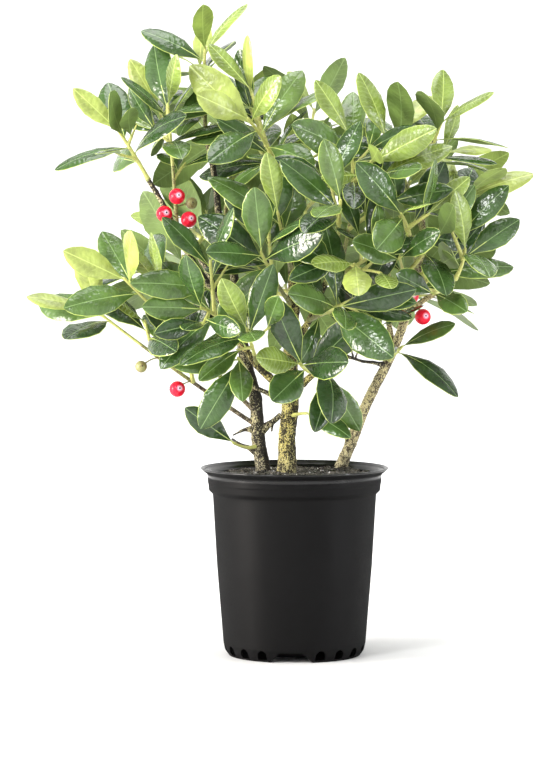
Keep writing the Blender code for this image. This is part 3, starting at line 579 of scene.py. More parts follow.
def half_width(u):
    """Half of a leaf's width, as a share of the most, at share u of its length.

    It rises as a sine to the widest place, past the middle, and falls as a blunter cosine to the tip.
    """
    u = np.clip(np.asarray(u, float), 0.0, 1.0)
    rising = np.sin(np.clip(u / WIDEST, 0, 1) * math.pi / 2) ** BASE_SLENDER
    falling = np.cos(np.clip((u - WIDEST) / (1 - WIDEST), 0, 1) * math.pi / 2) ** TIP_BLUNT
    return np.where(u < WIDEST, rising, falling)


def blade(leaf, u, v, lift=0.0, least=0.0, wave=0.0):
    """Points on a leaf's blade: u from base to tip, v from edge to edge, lift above the blade.

    The midrib runs straight through the petiole and then turns down on an arc; the halves rise from the
    midrib as BLADE_RISE |v| - BLADE_ROLL v^2 and roll down again to the edge, which waves a little.
    """
    u, v = np.broadcast_arrays(np.asarray(u, float), np.asarray(v, float))
    bend = max(leaf.bend, 1e-3)
    turn = bend * np.clip(u, 0, 1)
    forward = leaf.length * (np.sin(turn) / bend + np.minimum(u, 0) + np.maximum(u - 1, 0))
    fall = leaf.length * (1 - np.cos(turn)) / bend
    side = np.cross(leaf.face, leaf.along)
    centre = leaf.root + leaf.along * PETIOLE
    normal = np.sin(turn)[..., None] * leaf.along + np.cos(turn)[..., None] * leaf.face
    half = np.maximum(leaf.width / 2 * half_width(u), least)
    dome = half * (BLADE_RISE * np.abs(v) - BLADE_ROLL * v**2) + wave * v**2
    return (
        centre
        + forward[..., None] * leaf.along
        - fall[..., None] * leaf.face
        + (half * v)[..., None] * side
        + (dome + lift)[..., None] * normal
    )


class Thicket:
    """What a new leaf has to stay clear of: wood, berries and the leaves that are there already."""

    def __init__(self):
        self.items = []
        self.spheres = np.empty((0, 4))

    def add(self, owner, points, faces):
        points = np.asarray(points, float)
        centre = points.mean(0)
        reach = np.linalg.norm(points - centre, axis=1).max()
        tree = BVHTree.FromPolygons([Vector(p) for p in points], faces)
        self.items.append((owner, tree, points))
        self.spheres = np.concatenate([self.spheres, [[*centre, reach]]])

    def clear(self, owner, points, faces):
        """True where the new piece crosses nothing and keeps its distance, more from other sprays."""
        centre = points.mean(0)
        reach = np.linalg.norm(points - centre, axis=1).max()
        corners = [Vector(p) for p in points]
        tree = BVHTree.FromPolygons(corners, faces)
        gaps = np.linalg.norm(self.spheres[:, :3] - centre, axis=1) - self.spheres[:, 3] - reach
        for number in np.flatnonzero(gaps < max(SPRAY_CLEARANCE, LEAF_CLEARANCE)):
            other, standing, around = self.items[number]
            room = SPRAY_CLEARANCE if other == owner else LEAF_CLEARANCE
            if tree.overlap(standing):
                return False
            if any(standing.find_nearest(c, room)[0] is not None for c in corners):
                return False
            near = around[np.linalg.norm(around - centre, axis=1) < reach + room]
            if any(tree.find_nearest(Vector(c), room)[0] is not None for c in near):
                return False
        return True


NET_U = (0.06, 0.2, 0.34, 0.54, 0.74, 0.9, 1.0)
NET_V = (-1.0, 0.0, 1.0)


def grid_faces(rows, columns, closed=False):
    """Quads between neighbouring points of a grid stored row by row; closed joins the ends of each row."""
    across = np.arange(columns if closed else columns - 1)
    low = np.arange(rows - 1)[:, None] * columns
    here, there = low + across, low + (across + 1) % columns
    return np.stack([here, there, there + columns, here + columns], -1).reshape(-1, 4).tolist()


def tube_faces(rings, sides):
    """Faces of a skin stored ring by ring, closed by two points stored after the rings."""
    foot, tip, last = rings * sides, rings * sides + 1, (rings - 1) * sides
    faces = grid_faces(rings, sides, closed=True)
    faces += [(foot, (k + 1) % sides, k) for k in range(sides)]
    return faces + [(last + k, last + (k + 1) % sides, tip) for k in range(sides)]


def leaf_net(leaf):
    """A coarse sheet in the leaf's shape, which stands for it when leaves are kept apart."""
    u, v = np.meshgrid(NET_U, NET_V, indexing="ij")
    faces = [half for a, b, c, d in grid_faces(len(NET_U), len(NET_V)) for half in ((a, b, c), (a, c, d))]
    return blade(leaf, u, v).reshape(-1, 3), faces


def ring_frame(points):
    """Two directions square to a path at each point, carried along it without twist."""
    tangents = np.gradient(points, axis=0)
    tangents /= np.linalg.norm(tangents, axis=1)[:, None]
    ones = [square_to(np.array((0.37, 0.61, 0.2)), tangents[0])]
    for tangent in tangents[1:]:
        ones.append(square_to(ones[-1], tangent))
    ones = np.array(ones)
    return tangents, ones, np.cross(tangents, ones)


def round_skin(centres, radii, sides):
    """A closed skin round a path: at each centre a circle square to the path, of radii[centre, side].

    A point at each end closes it.
    """
    _, ones, others = ring_frame(centres)
    turns = turns_of(sides)
    radii = np.broadcast_to(np.asarray(radii, float).reshape(len(centres), -1), (len(centres), sides))
    rings = (
        centres[:, None]
        + (radii * np.cos(turns))[..., None] * ones[:, None]
        + (radii * np.sin(turns))[..., None] * others[:, None]
    )
    points = np.concatenate([rings.reshape(-1, 3), centres[:1], centres[-1:]])
    return points, tube_faces(len(centres), sides)


def try_leaf(spray, number, shoot, k, rng, size=1.0):
    """The k-th leaf from a shoot's tip, its place and size set by the rule and a little chance.

    Leaves turn round the shoot by the golden angle, spread wider the older they are, bend outward and up to
    the light, and show their upper side to the shoot's tip and the sky.
    """
    reach = lengths_of(shoot)[-1]
    back = TIP_GAP + LEAF_SPACING * size * k**LEAF_SPACING_GROWTH
    if back > reach * LEAFY_SHARE:
        return None
    root, tangent, _ = place_on(shoot, 1 - back / reach)
    turn = math.radians(spray.turn) + k * GOLDEN_TURN + rng.uniform(-TURN_CHANCE, TURN_CHANCE)
    aside = turned_about(square_to(UP + np.array((0.3, -0.2, 0.0)), tangent), tangent, turn)
    lean = min(WIDEST_SPREAD, FIRST_SPREAD + SPREAD_STEP * k)
    lean = math.radians(lean + rng.uniform(-SPREAD_CHANCE, SPREAD_CHANCE))
    along = math.cos(lean) * tangent + math.sin(lean) * aside
    outward = outward_from(root)
    lift = LEAF_LIFT - spray.droop - LIFT_LOSS * k + LIFT_OF_HANGING * max(0.0, -along[2])
    along = unit(along + LEAF_OUTWARD * outward + lift * UP)
    front = FACE_FRONT * min(1.0, max(-1.0, (root[1] - FRONT_FROM) / FRONT_DEPTH))
    face = FACE_AHEAD * tangent + FACE_UPWARD * UP + FACE_OUTWARD * outward + FACE_ASIDE * aside
    face = square_to(face + np.array((0.0, front, 0.0)), along)
    face = turned_about(face, along, rng.uniform(-ROLL_CHANCE, ROLL_CHANCE))
    length = LEAF_LENGTH * size * LEAF_SIZES[k] * rng.uniform(1 - SIZE_CHANCE, 1 + SIZE_CHANCE)
    width = length * LEAF_WIDTH * rng.uniform(1 - SIZE_CHANCE, 1 + SIZE_CHANCE)
    bend = math.radians(FIRST_BEND + BEND_STEP * k + rng.uniform(*BEND_CHANCE)) + DROOP_BEND * spray.droop
    return Leaf(spray.name, number, k, root, along, face, length, width, bend)


def grow_leaves(limbs, shoots, wood):
    """The leaves of every shoot, youngest first, leaving out any that would touch what is there."""
    thicket = Thicket()
    for name, path in limbs.items():
        thicket.add(name, *round_skin(*path, 6))
    for name, own in shoots.items():
        for shoot in own:
            thicket.add(name, *round_skin(*shoot, 4))
    for berry in BERRIES:
        thicket.add(berry.spray, *ball(np.array(berry.centre, float), BERRY_RADIUS + 0.5))
    rim = max(r for r, _ in POT_OUTSIDE) + RIM_CLEARANCE
    axis = np.linspace(0.0, POT_OUTSIDE[-1][1] + RIM_CLEARANCE, 3)[:, None] * UP
    thicket.add("pot", *round_skin(axis, np.full(3, rim), 24))
    leaves = []
    for k in range(len(LEAF_SIZES)):
        for spray in (s for s in SPRAYS if k < s.leaves):
            for number, shoot in enumerate(shoots[spray.name]):
                rng = random.Random(spray.seed * 1000 + number * 100 + k)
                settle_leaf(spray, number, shoot, k, rng, 1.0, thicket, leaves)
    grow_fine_twigs(shoots, wood, thicket, leaves)
    return leaves


def grow_fine_twigs(shoots, wood, thicket, leaves):
    """Finer twigs with smaller leaves, in the room that is left. A twig that gets no leaf isn't kept."""
    for spray in (s for s in SPRAYS if s.leaves >= LEAST_LEAVES):
        for number, shoot in enumerate(list(shoots[spray.name])):
            for place, share in enumerate(FINE_SHARES[: 2 if number == 0 else 1]):
                twig = fine_twig(spray, shoot, number * 10 + place, share, wood)
                outer = twig and round_skin(*sampled(twig, (0.4, 0.7, 1.0)), 4)
                if not outer or not thicket.clear(spray.name, *outer):
                    continue
                shoots[spray.name].append(twig)
                wood.append(dense(twig))
                count = len(leaves)
                for k in range(FINE_LEAVES):
                    rng = random.Random(spray.seed * 3001 + number * 101 + place * 11 + k)
                    own = len(shoots[spray.name]) - 1
                    settle_leaf(spray, own, twig, k, rng, FINE_SIZE, thicket, leaves)
                if len(leaves) == count:
                    shoots[spray.name].pop()
                    wood.pop()
                else:
                    thicket.add(spray.name, *round_skin(*twig, 4))


def settle_leaf(spray, number, shoot, k, rng, size, thicket, leaves):
    """Adds the k-th leaf of a shoot in the first of a few positions where it is clear of everything."""
    for _ in range(LEAF_TRIES):
        leaf = try_leaf(spray, number, shoot, k, rng, size)
        if leaf is None:
            return
        points, faces = leaf_net(leaf)
        if thicket.clear(spray.name, points, faces):
            thicket.add(spray.name, points, faces)
            leaves.append(leaf)
            return


def ball(centre, radius, rings=6, sides=10):
    """A ball as circles of latitude round Z, closed by a point at each pole."""
    tilt = np.linspace(0, math.pi, rings + 2)[1:-1]
    turns = turns_of(sides)
    x = np.sin(tilt)[:, None] * np.cos(turns)
    y = np.sin(tilt)[:, None] * np.sin(turns)
    z = np.broadcast_to(-np.cos(tilt)[:, None], x.shape)
    points = np.concatenate([np.stack([x, y, z], -1).reshape(-1, 3), [(0, 0, -1), (0, 0, 1)]])
    return centre + radius * points, tube_faces(rings, sides)


# Meshes


class Piece:
    """A mesh put together from shapes of one kind, each face with a material of the piece."""

    def __init__(self, name, *materials):
        self.name = name
        self.materials = materials
        self.points, self.faces, self.slots, self.places = [], [], [], []
        self.count = 0

    def add(self, points, faces, slots=0, places=None):
        """Adds a shape. slots is one material's number or one per face, places is a UV per point."""
        self.points.append(points)
        self.faces += [tuple(self.count + k for k in face) for face in faces]
        self.slots += [slots] * len(faces) if isinstance(slots, int) else list(slots)
        if places is not None:
            self.places.append(places)
        self.count += len(points)

    def make(self, slot, *replaced, crease=50.0):
        """The finished object, smooth but for edges sharper than crease degrees."""
        mesh = bpy.data.meshes.new(self.name)
        points = np.concatenate(self.points) * MM
        mesh.from_pydata(points.tolist(), [], self.faces)
        for material in self.materials:
            mesh.materials.append(material)
        mesh.polygons.foreach_set("material_index", self.slots)
        mesh.polygons.foreach_set("use_smooth", np.ones(len(self.faces), bool))
        if self.places:
            corners = np.empty(len(mesh.loops), np.int32)
            mesh.loops.foreach_get("vertex_index", corners)
            layer = mesh.uv_layers.new(name="UVMap")
            layer.data.foreach_set("uv", np.concatenate(self.places)[corners].astype(np.float32).ravel())
        mesh.set_sharp_from_angle(angle=math.radians(crease))
        made = bpy.data.objects.new(self.name, mesh)
        bpy.context.scene.collection.objects.link(made)
        return fitted_out(made, slot, *replaced)


def fitted_out(made, slot, *replaced):
    """made riding on the plant's one body and standing for the named solids, which are hidden. slot is not
    used.
    """
    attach(made, "root")
    if replaced:
        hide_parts(*replaced)
    return made


def hump(off, width):
    """1 where off is 0, falling to little beyond the width on both sides."""
    return np.exp(-((off / width) ** 2))


def waves(seed, along, turn, rough):
    """A bumpy value round a limb: six sines of the distance along it and whole numbers of turns round it."""
    rng = random.Random(seed)
    total = np.zeros(np.broadcast(along, turn).shape)
    for k in range(6):
        pace = rough * rng.uniform(0.5, 1.8)
        total += np.sin(along * pace + turn * rng.randint(0, 3 + k) + rng.uniform(0, 6)) / (1 + 0.4 * k)
    return total / 3


# Materials


class Signal:
    """A value in a node tree. Adding, multiplying and the like make a math node each."""

    def __init__(self, socket):
        self.socket, self.tree = socket, socket.id_data

    def __add__(self, other):
        return maths("ADD", self, other)

    def __sub__(self, other):
        return maths("SUBTRACT", self, other)

    def __rsub__(self, other):
        return maths("SUBTRACT", other, self)

    def __mul__(self, other):
        return maths("MULTIPLY", self, other)

    def __truediv__(self, other):
        return maths("DIVIDE", self, other)


def maths(operation, first, second=0.0, clamped=False):
    """A math node's result, in the tree of whichever of the two is a Signal."""
    tree = (first if isinstance(first, Signal) else second).tree
    return signal(tree, "ShaderNodeMath", {0: first, 1: second}, operation=operation, use_clamp=clamped)


def put(socket, value):
    """Links a Signal to an input or sets a plain value. A colour is three numbers."""
    if isinstance(value, Signal):
        value.tree.links.new(value.socket, socket)
    else:
        socket.default_value = (*value, 1.0) if socket.type == "RGBA" else value


def node(tree, kind, values=(), **settings):
    """A new node with its settings, and its inputs put by name or number."""
    made = tree.nodes.new(kind)
    for name, value in settings.items():
        setattr(made, name, value)
    for name, value in dict(values).items():
        put(made.inputs[name], value)
    return made


def signal(tree, kind, values=(), output=0, **settings):
    return Signal(node(tree, kind, values, **settings).outputs[output])


def axes_of(place):
    return [Signal(socket) for socket in node(place.tree, "ShaderNodeSeparateXYZ", {0: place}).outputs]


def noise(place, scale, detail):
    return signal(place.tree, "ShaderNodeTexNoise", {"Vector": place, "Scale": scale, "Detail": detail})


def spread(value, low=0.0, high=1.0, to_low=0.0, to_high=1.0):
    """A value that runs from to_low to to_high while the given one runs from low to high."""
    ends = {"Value": value, "From Min": low, "From Max": high, "To Min": to_low, "To Max": to_high}
    return signal(value.tree, "ShaderNodeMapRange", ends)


def mixed(mask, first, second):
    """The first colour where mask is 0, the second where it is 1."""
    return signal(mask.tree, "ShaderNodeMix", {0: mask, 6: first, 7: second}, 2, data_type="RGBA")


def toned(colour, times, plus=0.0):
    return tuple(min(1.0, c * times + plus) for c in colour)


def object_place(tree):
    return signal(tree, "ShaderNodeTexCoord", output="Object")


def uv_place(tree):
    return signal(tree, "ShaderNodeUVMap", uv_map="UVMap")


def new_group(name, inputs, outputs):
    """A node group with a vector input named Place, float inputs with their values, and float outputs."""
    group = bpy.data.node_groups.new(name, "ShaderNodeTree")
    group.interface.new_socket("Place", in_out="INPUT", socket_type="NodeSocketVector")
    for label, value in inputs.items():
        socket = group.interface.new_socket(label, in_out="INPUT", socket_type="NodeSocketFloat")
        socket.default_value = value
    for label in outputs:
        group.interface.new_socket(label, in_out="OUTPUT", socket_type="NodeSocketFloat")
    sockets = group.nodes.new("NodeGroupInput").outputs
    given = {label: Signal(sockets[label]) for label in ("Place", *inputs)}
    return group, given, group.nodes.new("NodeGroupOutput").inputs


def group_in(group, place, **values):
    """The results of a group at a place, by name."""
    made = node(place.tree, "ShaderNodeGroup", {"Place": place, **values}, node_tree=group)
    return {socket.name: Signal(socket) for socket in made.outputs}


def make_vein_group():
    """Blisters between side veins: bulges repeat along lines that lean from the midrib to the tip.

    It also gives the veins between the bulges, the line of the midrib and slow spots. The UV that it reads is
    in tenths of a metre: across, with the midrib at 0.5, and along.
    """
    inputs = {"Spacing": VEIN_SPACING, "Pucker": PUCKER_SCALE}
    group, given, results = new_group("leaf veins", inputs, ("Height", "Vein", "Rib", "Mottle"))
    place = given["Place"]
    x, y, _ = axes_of(place)
    across = maths("ABSOLUTE", (x - 0.5) * UV_SPAN)
    lean = y * UV_SPAN - across * VEIN_LEAN + noise(place, 22.0, 1.0) * VEIN_WOBBLE
    off = maths("FRACT", lean / given["Spacing"]) * 2.0 - 1.0
    bulge = 1.0 - off * off
    valley = maths("MINIMUM", across / VALLEY_WIDTH, 1.0)
    put(results["Height"], bulge * valley * 0.1 + noise(place, given["Pucker"], 2.0) * 1.4)
    put(results["Vein"], 1.0 - bulge)
    put(results["Rib"], maths("LESS_THAN", across, RIB_LINE))
    put(results["Mottle"], spread(noise(place, 5.0, 3.0), 0.35, 0.65))
    return group


def make_speck_group():
    """Ragged specks: two noises of different grain, mixed and cut at a level."""
    inputs = {"Grain": 400.0, "Level": 0.5, "Softness": 0.06, "Stretch": 0.55}
    group, given, results = new_group("specks", inputs, ("Mask", "Height"))
    low = signal(group, "ShaderNodeCombineXYZ", {0: 1.0, 1: 1.0, 2: given["Stretch"]})
    place = signal(group, "ShaderNodeVectorMath", {0: given["Place"], 1: low}, operation="MULTIPLY")
    blend = noise(place, given["Grain"], 3.0) * 0.62 + noise(place, given["Grain"] * 2.7, 2.0) * 0.38
    put(results["Mask"], maths("ADD", (blend - given["Level"]) / given["Softness"], 0.5, clamped=True))
    put(results["Height"], blend)
    return group


VEINS = make_vein_group()
SPECKS = make_speck_group()


def begin(name, colour, roughness, **extra):
    """A material, its tree and its shader's inputs, with their plain values set."""
    material = bpy.data.materials.new(name)
    material.use_nodes = True
    inputs = material.node_tree.nodes["Principled BSDF"].inputs
    plain = {"Base Color": colour, "Roughness": roughness, "Metallic": 0.0}
    for label, value in (plain | extra).items():
        put(inputs[label.replace("_", " ")], value)
    return material, material.node_tree, inputs


def bump(inputs, height, strength, distance):
    values = {"Height": height, "Strength": strength, "Distance": distance * MM}
    put(inputs["Normal"], signal(height.tree, "ShaderNodeBump", values))


def leaf_material(name, colour, roughness, relief, veined):
    """Leaf skin, mottled, blistered between its paler veins and glossier on the blisters."""
    material, tree, inputs = begin(name, colour, roughness)
    veins = group_in(VEINS, uv_place(tree), Spacing=VEIN_SPACING)
    ground = mixed(veins["Mottle"], toned(colour, 0.72), toned(colour, 1.3))
    lines = maths("MAXIMUM", maths("POWER", veins["Vein"], VEIN_SHARPNESS) * veined, veins["Rib"] * 0.8)
    put(inputs["Base Color"], mixed(lines, ground, toned(colour, 1.4, 0.04)))
    put(inputs["Roughness"], spread(veins["Vein"], to_low=roughness, to_high=roughness + 0.06))
    bump(inputs, veins["Height"], relief, 1.2)
    return material


def bark_material(name, light, dark, level, roughness=0.75, shaded=0.0, shine=0.5):
    """Speckled bark: ragged dark specks and pale flecks over a lighter ground, crowded in patches.

    The dark specks also crowd by the amount shaded where the first value of the piece's UV is 1: painted shade
    on the limb's shaded side.
    """
    material, tree, inputs = begin(name, light, roughness, Specular_IOR_Level=shine)
    place = object_place(tree)
    patches = group_in(SPECKS, place, Grain=170.0, Level=0.5, Softness=0.2, Stretch=0.5)
    crowd = spread(patches["Mask"], to_low=level + PATCHINESS, to_high=level - PATCHINESS)
    # painted shade: more dark specks toward the shaded side that the piece's UV marks
    crowd = crowd - axes_of(uv_place(tree))[0] * shaded
    specks = group_in(SPECKS, place, Grain=900.0, Level=crowd, Softness=0.045, Stretch=0.75)
    flecks = group_in(SPECKS, place, Grain=1250.0, Level=0.545, Softness=0.05, Stretch=0.9)
    splash = spread(axes_of(place)[2], *SPLASHED, SPLASH_AMOUNT, 0.0)
    ground = mixed(patches["Mask"], toned(light, 1.45), light)
    ground = mixed(splash, ground, SPLASH_COLOUR)
    ground = mixed(flecks["Mask"], ground, toned(light, 1.4, 0.22))
    put(inputs["Base Color"], mixed(specks["Mask"], ground, dark))
    put(inputs["Roughness"], spread(specks["Mask"], to_low=roughness, to_high=min(1.0, roughness + 0.15)))
    bump(inputs, specks["Height"], 0.7, 0.8)
    return material


def skin_material(name, colour, spot, roughness, level, grain=600.0, relief=0.15, shine=0.5):
    """A smooth skin with a few soft spots of another colour."""
    material, tree, inputs = begin(name, colour, roughness, Specular_IOR_Level=shine)
    specks = group_in(SPECKS, object_place(tree), Grain=grain, Level=level, Softness=0.08, Stretch=0.8)
    put(inputs["Base Color"], mixed(specks["Mask"], colour, spot))
    put(inputs["Roughness"], spread(specks["Mask"], to_low=roughness, to_high=roughness + 0.1))
    bump(inputs, specks["Height"], relief, 0.4)
    return material


def pot_material():
    """Satin black plastic with faint rings from its mould and a fine grain.

    It is glossy on its lip, round the shoulder under it and inside. Its sheen is lost toward the sides, where
    it is seen at a slant.
    """
    material, tree, inputs = begin("black pot plastic", (0.0028, 0.0027, 0.0028), 0.38, IOR=1.18)
    place = object_place(tree)
    z = axes_of(place)[2]
    rings = signal(tree, "ShaderNodeTexNoise", {"W": z * MOULD_RINGS, "Scale": 1.0, "Detail": 3.0},
                   noise_dimensions="1D")
    grain = group_in(SPECKS, place, Grain=700.0, Level=0.55, Softness=0.3, Stretch=1.0)
    slant = signal(tree, "ShaderNodeLayerWeight", {"Blend": 0.5}, "Facing")
    satin = spread(grain["Mask"], to_low=0.30, to_high=0.40) + slant * 0.5
    lip = spread(z, *LIP_GLOSS)
    shoulder = spread(maths("ABSOLUTE", z - SHOULDER), *SHOULDER_GLOSS, 1.0, 0.0)
    flat = signal(tree, "ShaderNodeVectorMath", {0: place, 1: (1.0, 1.0, 0.0)}, operation="MULTIPLY")
    reach = signal(tree, "ShaderNodeVectorMath", {0: flat}, "Value", operation="LENGTH")
    inside = maths("LESS_THAN", reach - z * 0.55, -0.0109)
    glossy = maths("MAXIMUM", maths("MAXIMUM", lip, shoulder * 0.9), inside)
    put(inputs["Roughness"], satin - glossy * 0.2)
    put(inputs["Coat Weight"], glossy * 0.6)
    put(inputs["Coat Roughness"], 0.12)
    bump(inputs, rings * 0.6 + grain["Height"] * 0.4, 0.16, 0.25)
    return material


def floor_material():
    material, tree, inputs = begin("pale floor", (0.76, 0.76, 0.755), 0.7)
    grain = group_in(SPECKS, object_place(tree), Grain=60.0, Level=0.5, Softness=0.6, Stretch=1.0)
    put(inputs["Roughness"], spread(grain["Mask"], to_low=0.66, to_high=0.76))
    return material


# Leaves


# Name, colour, roughness, relief and paleness of the veins of each skin; the first six are the blades' tints
LEAF_SKINS = (
    ("deep leaf", (0.022, 0.050, 0.013), 0.16, 0.8, 0.3),
    ("green leaf", (0.038, 0.082, 0.018), 0.16, 0.8, 0.3),
    ("mid leaf", (0.066, 0.124, 0.026), 0.17, 0.8, 0.3),
    ("light leaf", (0.100, 0.166, 0.036), 0.18, 0.8, 0.3),
    ("young leaf", (0.172, 0.240, 0.046), 0.25, 0.8, 0.3),
    ("lime leaf", (0.275, 0.335, 0.075), 0.30, 0.8, 0.3),
    ("leaf underside", (0.13, 0.20, 0.045), 0.5, 0.3, 0.6),
    ("young leaf underside", (0.22, 0.30, 0.055), 0.5, 0.3, 0.6),
    ("leaf margin", (0.34, 0.42, 0.085), 0.35, 0.1, 0.3),
    ("midrib", (0.10, 0.175, 0.035), 0.3, 0.1, 0.3),
    ("petiole", (0.32, 0.39, 0.085), 0.4, 0.1, 0.3),
)
DEEP, GREEN, MID, LIGHT, YOUNG, LIME, UNDER, UNDER_YOUNG, EDGE, RIB, PALE_RIB = range(len(LEAF_SKINS))


def leaf_shape(leaf, number):
    """A leaf's skin: rows of points from the petiole to the tip, with strips for its margins and its midrib.

    Each row is eight points of the upper side, from margin to margin, and one under the midrib. A short
    petiole starts as three points inside the shoot, and one point closes the tip.
    """
    rng = random.Random(number)
    u = np.array(LEAF_ROWS)
    half = np.maximum(leaf.width / 2 * half_width(u), PETIOLE_RADIUS)
    edge = 1 - np.minimum(MARGIN_WIDTH / half, 0.35)
    rib = np.minimum(MIDRIB_WIDTH * (1 - 0.6 * u) / 2 / half, 0.35)
    ones = np.ones_like(u)
    v = np.stack([-ones, -edge, -(edge + rib) / 2, -rib, rib, (edge + rib) / 2, edge, ones], 1)
    rows, columns = v.shape
    lift = np.full(v.shape, LEAF_THICKNESS / 2)
    lift[:, (0, -1)] = 0.0
    lift[:, (3, 4)] -= 0.12
    wave = leaf.width * EDGE_WAVE * np.sin(u * rng.uniform(5, 8) + rng.uniform(0, 6)) * np.sin(u * math.pi)
    top = blade(leaf, u[:, None], v, lift, PETIOLE_RADIUS, wave[:, None] * np.sign(v + 0.3))
    keel = blade(leaf, u, np.zeros_like(u), np.where(u > 0, -LEAF_THICKNESS, -PETIOLE_RADIUS))
    side = np.cross(leaf.face, leaf.along)
    corners = ((-1, 0.4), (1, 0.4), (0, -1))
    root = [leaf.root + PETIOLE_RADIUS * (x * side + z * leaf.face) for x, z in corners]
    tip = blade(leaf, TIP_POINT, 0.0)
    points = np.concatenate([top.reshape(-1, 3), keel, root, [tip]])
    under = rows * columns
    left, right, below, end = range(under + rows, under + rows + 4)
    faces = [(a, d, c, b) for a, b, c, d in grid_faces(rows, columns)]
    kinds = [EDGE, 0, 0, RIB, 0, 0, EDGE]
    slots = [PALE_RIB if kind == RIB and i < 2 else kind for i in range(rows - 1) for kind in kinds]
    last = (rows - 1) * columns
    faces += [(last + k, end, last + k + 1) for k in range(columns - 1)]
    slots += kinds
    for i in range(rows - 1):
        a, b = i * columns, (i + 1) * columns
        faces += [(a, under + i, under + i + 1, b), (under + i, a + 7, b + 7, under + i + 1)]
    faces += [(last, under + rows - 1, end), (under + rows - 1, last + 7, end)]
    slots += [UNDER] * (2 * rows)
    faces += [(left, below, under, 0), (below, right, 7, under), (left, *range(columns), right)]
    faces += [(left, right, below)]
    slots += [PALE_RIB] * 4
    along = np.concatenate([np.repeat(u, columns), u, (0.0, 0.0, 0.0), (1.0,)]) * leaf.length
    across = np.concatenate([(v * half[:, None]).ravel(), np.zeros(rows + 4)])
    return points, faces, slots, np.stack([0.5 + across / UV_SPAN, along / UV_SPAN], 1)


# Brightness of an older leaf: a base level at a set height, more per mm up and toward the front as painted
# light, and some by chance as the leaves' own tone
BRIGHTNESS, PAINTED_LIGHT_FROM, PAINTED_LIGHT_RISE = 0.38, 280, 0.35 / 280
PAINTED_LIGHT_FRONT = 0.002
BRIGHT_CHANCE = 0.45


def tint_of(leaf, spray, number):
    """A leaf's tint: the spray's youngest leaves are lime, the others deep to light by chance and, as painted
    light, by height and nearness to the front.
    """
    rng = random.Random(number * 17 + spray.seed)
    if leaf.rank < spray.young and leaf.shoot <= 1:
        return LIME if rng.random() < 0.6 else YOUNG
    if leaf.rank < 2 and leaf.shoot > 1 and spray.young and rng.random() < 0.2:
        return YOUNG
    # painted light: older leaves get lighter tints higher up and toward the front
    tone_and_painted_light = BRIGHTNESS + PAINTED_LIGHT_RISE * (leaf.root[2] - PAINTED_LIGHT_FROM) - PAINTED_LIGHT_FRONT * leaf.root[1]
    tone_and_painted_light += rng.uniform(-BRIGHT_CHANCE, BRIGHT_CHANCE)
    return (DEEP, GREEN, MID, LIGHT)[int(np.clip(tone_and_painted_light * 3, 0, 3))]


def make_leaves(leaves):
    """All leaves as one piece, each with its tint, and young leaves with a paler midrib and underside."""
    piece = Piece("leaves", *[leaf_material(*row) for row in LEAF_SKINS])
    sprays = {spray.name: spray for spray in SPRAYS}
    for number, leaf in enumerate(leaves):
        points, faces, slots, places = leaf_shape(leaf, number)
        tint = tint_of(leaf, sprays[leaf.spray], number)
        under = UNDER_YOUNG if tint >= YOUNG else UNDER
        rib = PALE_RIB if tint >= YOUNG else RIB
        slots = [{0: tint, UNDER: under, RIB: rib}.get(slot, slot) for slot in slots]
        piece.add(points, faces, slots, places)
    piece.make("foliage", *sprays, crease=60.0)


# Twigs


# Steps along a bud from the shoot's end, each with the share of its radius
BUD = np.array(((0.5, 0.86), (1.3, 0.95), (2.3, 0.6), (3.0, 0.22)))
YOUNG_TWIG, GREEN_TWIG, BROWN_TWIG = range(3)
GREEN_AGE, BROWN_AGE = 0.6, 1.15
AGE_REACH = 60

# Swellings of a twig, with their widths: at its foot and under each leaf
FOOT_SWELL, FOOT_REACH = 0.5, 4
NODE_SWELL, NODE_REACH = 0.28, 1.6


def make_twigs(limbs, shoots, leaves):
    """Shoots as round skins, with a low ring under each leaf and a pointed bud at the end."""
    young = skin_material("young shoot", (0.50, 0.52, 0.15), (0.30, 0.24, 0.08), 0.45, 0.58)
    ripe = skin_material("green twig", (0.25, 0.27, 0.08), (0.11, 0.085, 0.04), 0.55, 0.53)
    old = bark_material("brown twig", (0.16, 0.125, 0.06), (0.035, 0.026, 0.018), 0.5)
    piece = Piece("twigs", young, ripe, old)
    for spray in SPRAYS:
        joint = joint_on(limbs, spray.limb, spray.share)
        for number, shoot in enumerate(shoots[spray.name]):
            nodes = [leaf.root for leaf in leaves if leaf.spray == spray.name and leaf.shoot == number]
            if number == 0:
                centres = bowed(joint.point, np.array(spray.tip, float), spray.rise, TWIG_RING, joint)
            else:
                centres = bowed(shoot.points[0], shoot.points[-1], 0.0, TWIG_RING)
            s = np.linspace(0, 1, len(centres))
            radii = np.interp(s, (0, 1), (shoot.radii[0], shoot.radii[-1] * 0.8))
            radii += FOOT_SWELL * hump(s * len(centres) * TWIG_RING, FOOT_REACH)
            for root in nodes:
                radii += NODE_SWELL * hump(np.linalg.norm(centres - root, axis=1), NODE_REACH)
            heading = unit(centres[-1] - centres[-2])
            centres = np.concatenate([centres, centres[-1] + BUD[:, :1] * heading])
            radii = np.concatenate([radii, BUD[:, 1] * radii[-1]])
            points, faces = round_skin(centres, radii, TWIG_SIDES)
            oldest = (1.0 if number == 0 else 0.5) * len(centres) / AGE_REACH
            age = np.linspace(1, 0, len(centres))[:-1] * oldest
            rings = np.where(age > BROWN_AGE, BROWN_TWIG, np.where(age > GREEN_AGE, GREEN_TWIG, YOUNG_TWIG))
            kinds = [*rings.tolist(), int(rings[0]), YOUNG_TWIG]
            piece.add(points, faces, [kind for kind in kinds for _ in range(TWIG_SIDES)])
    piece.make("bark", crease=60.0)


# Berries


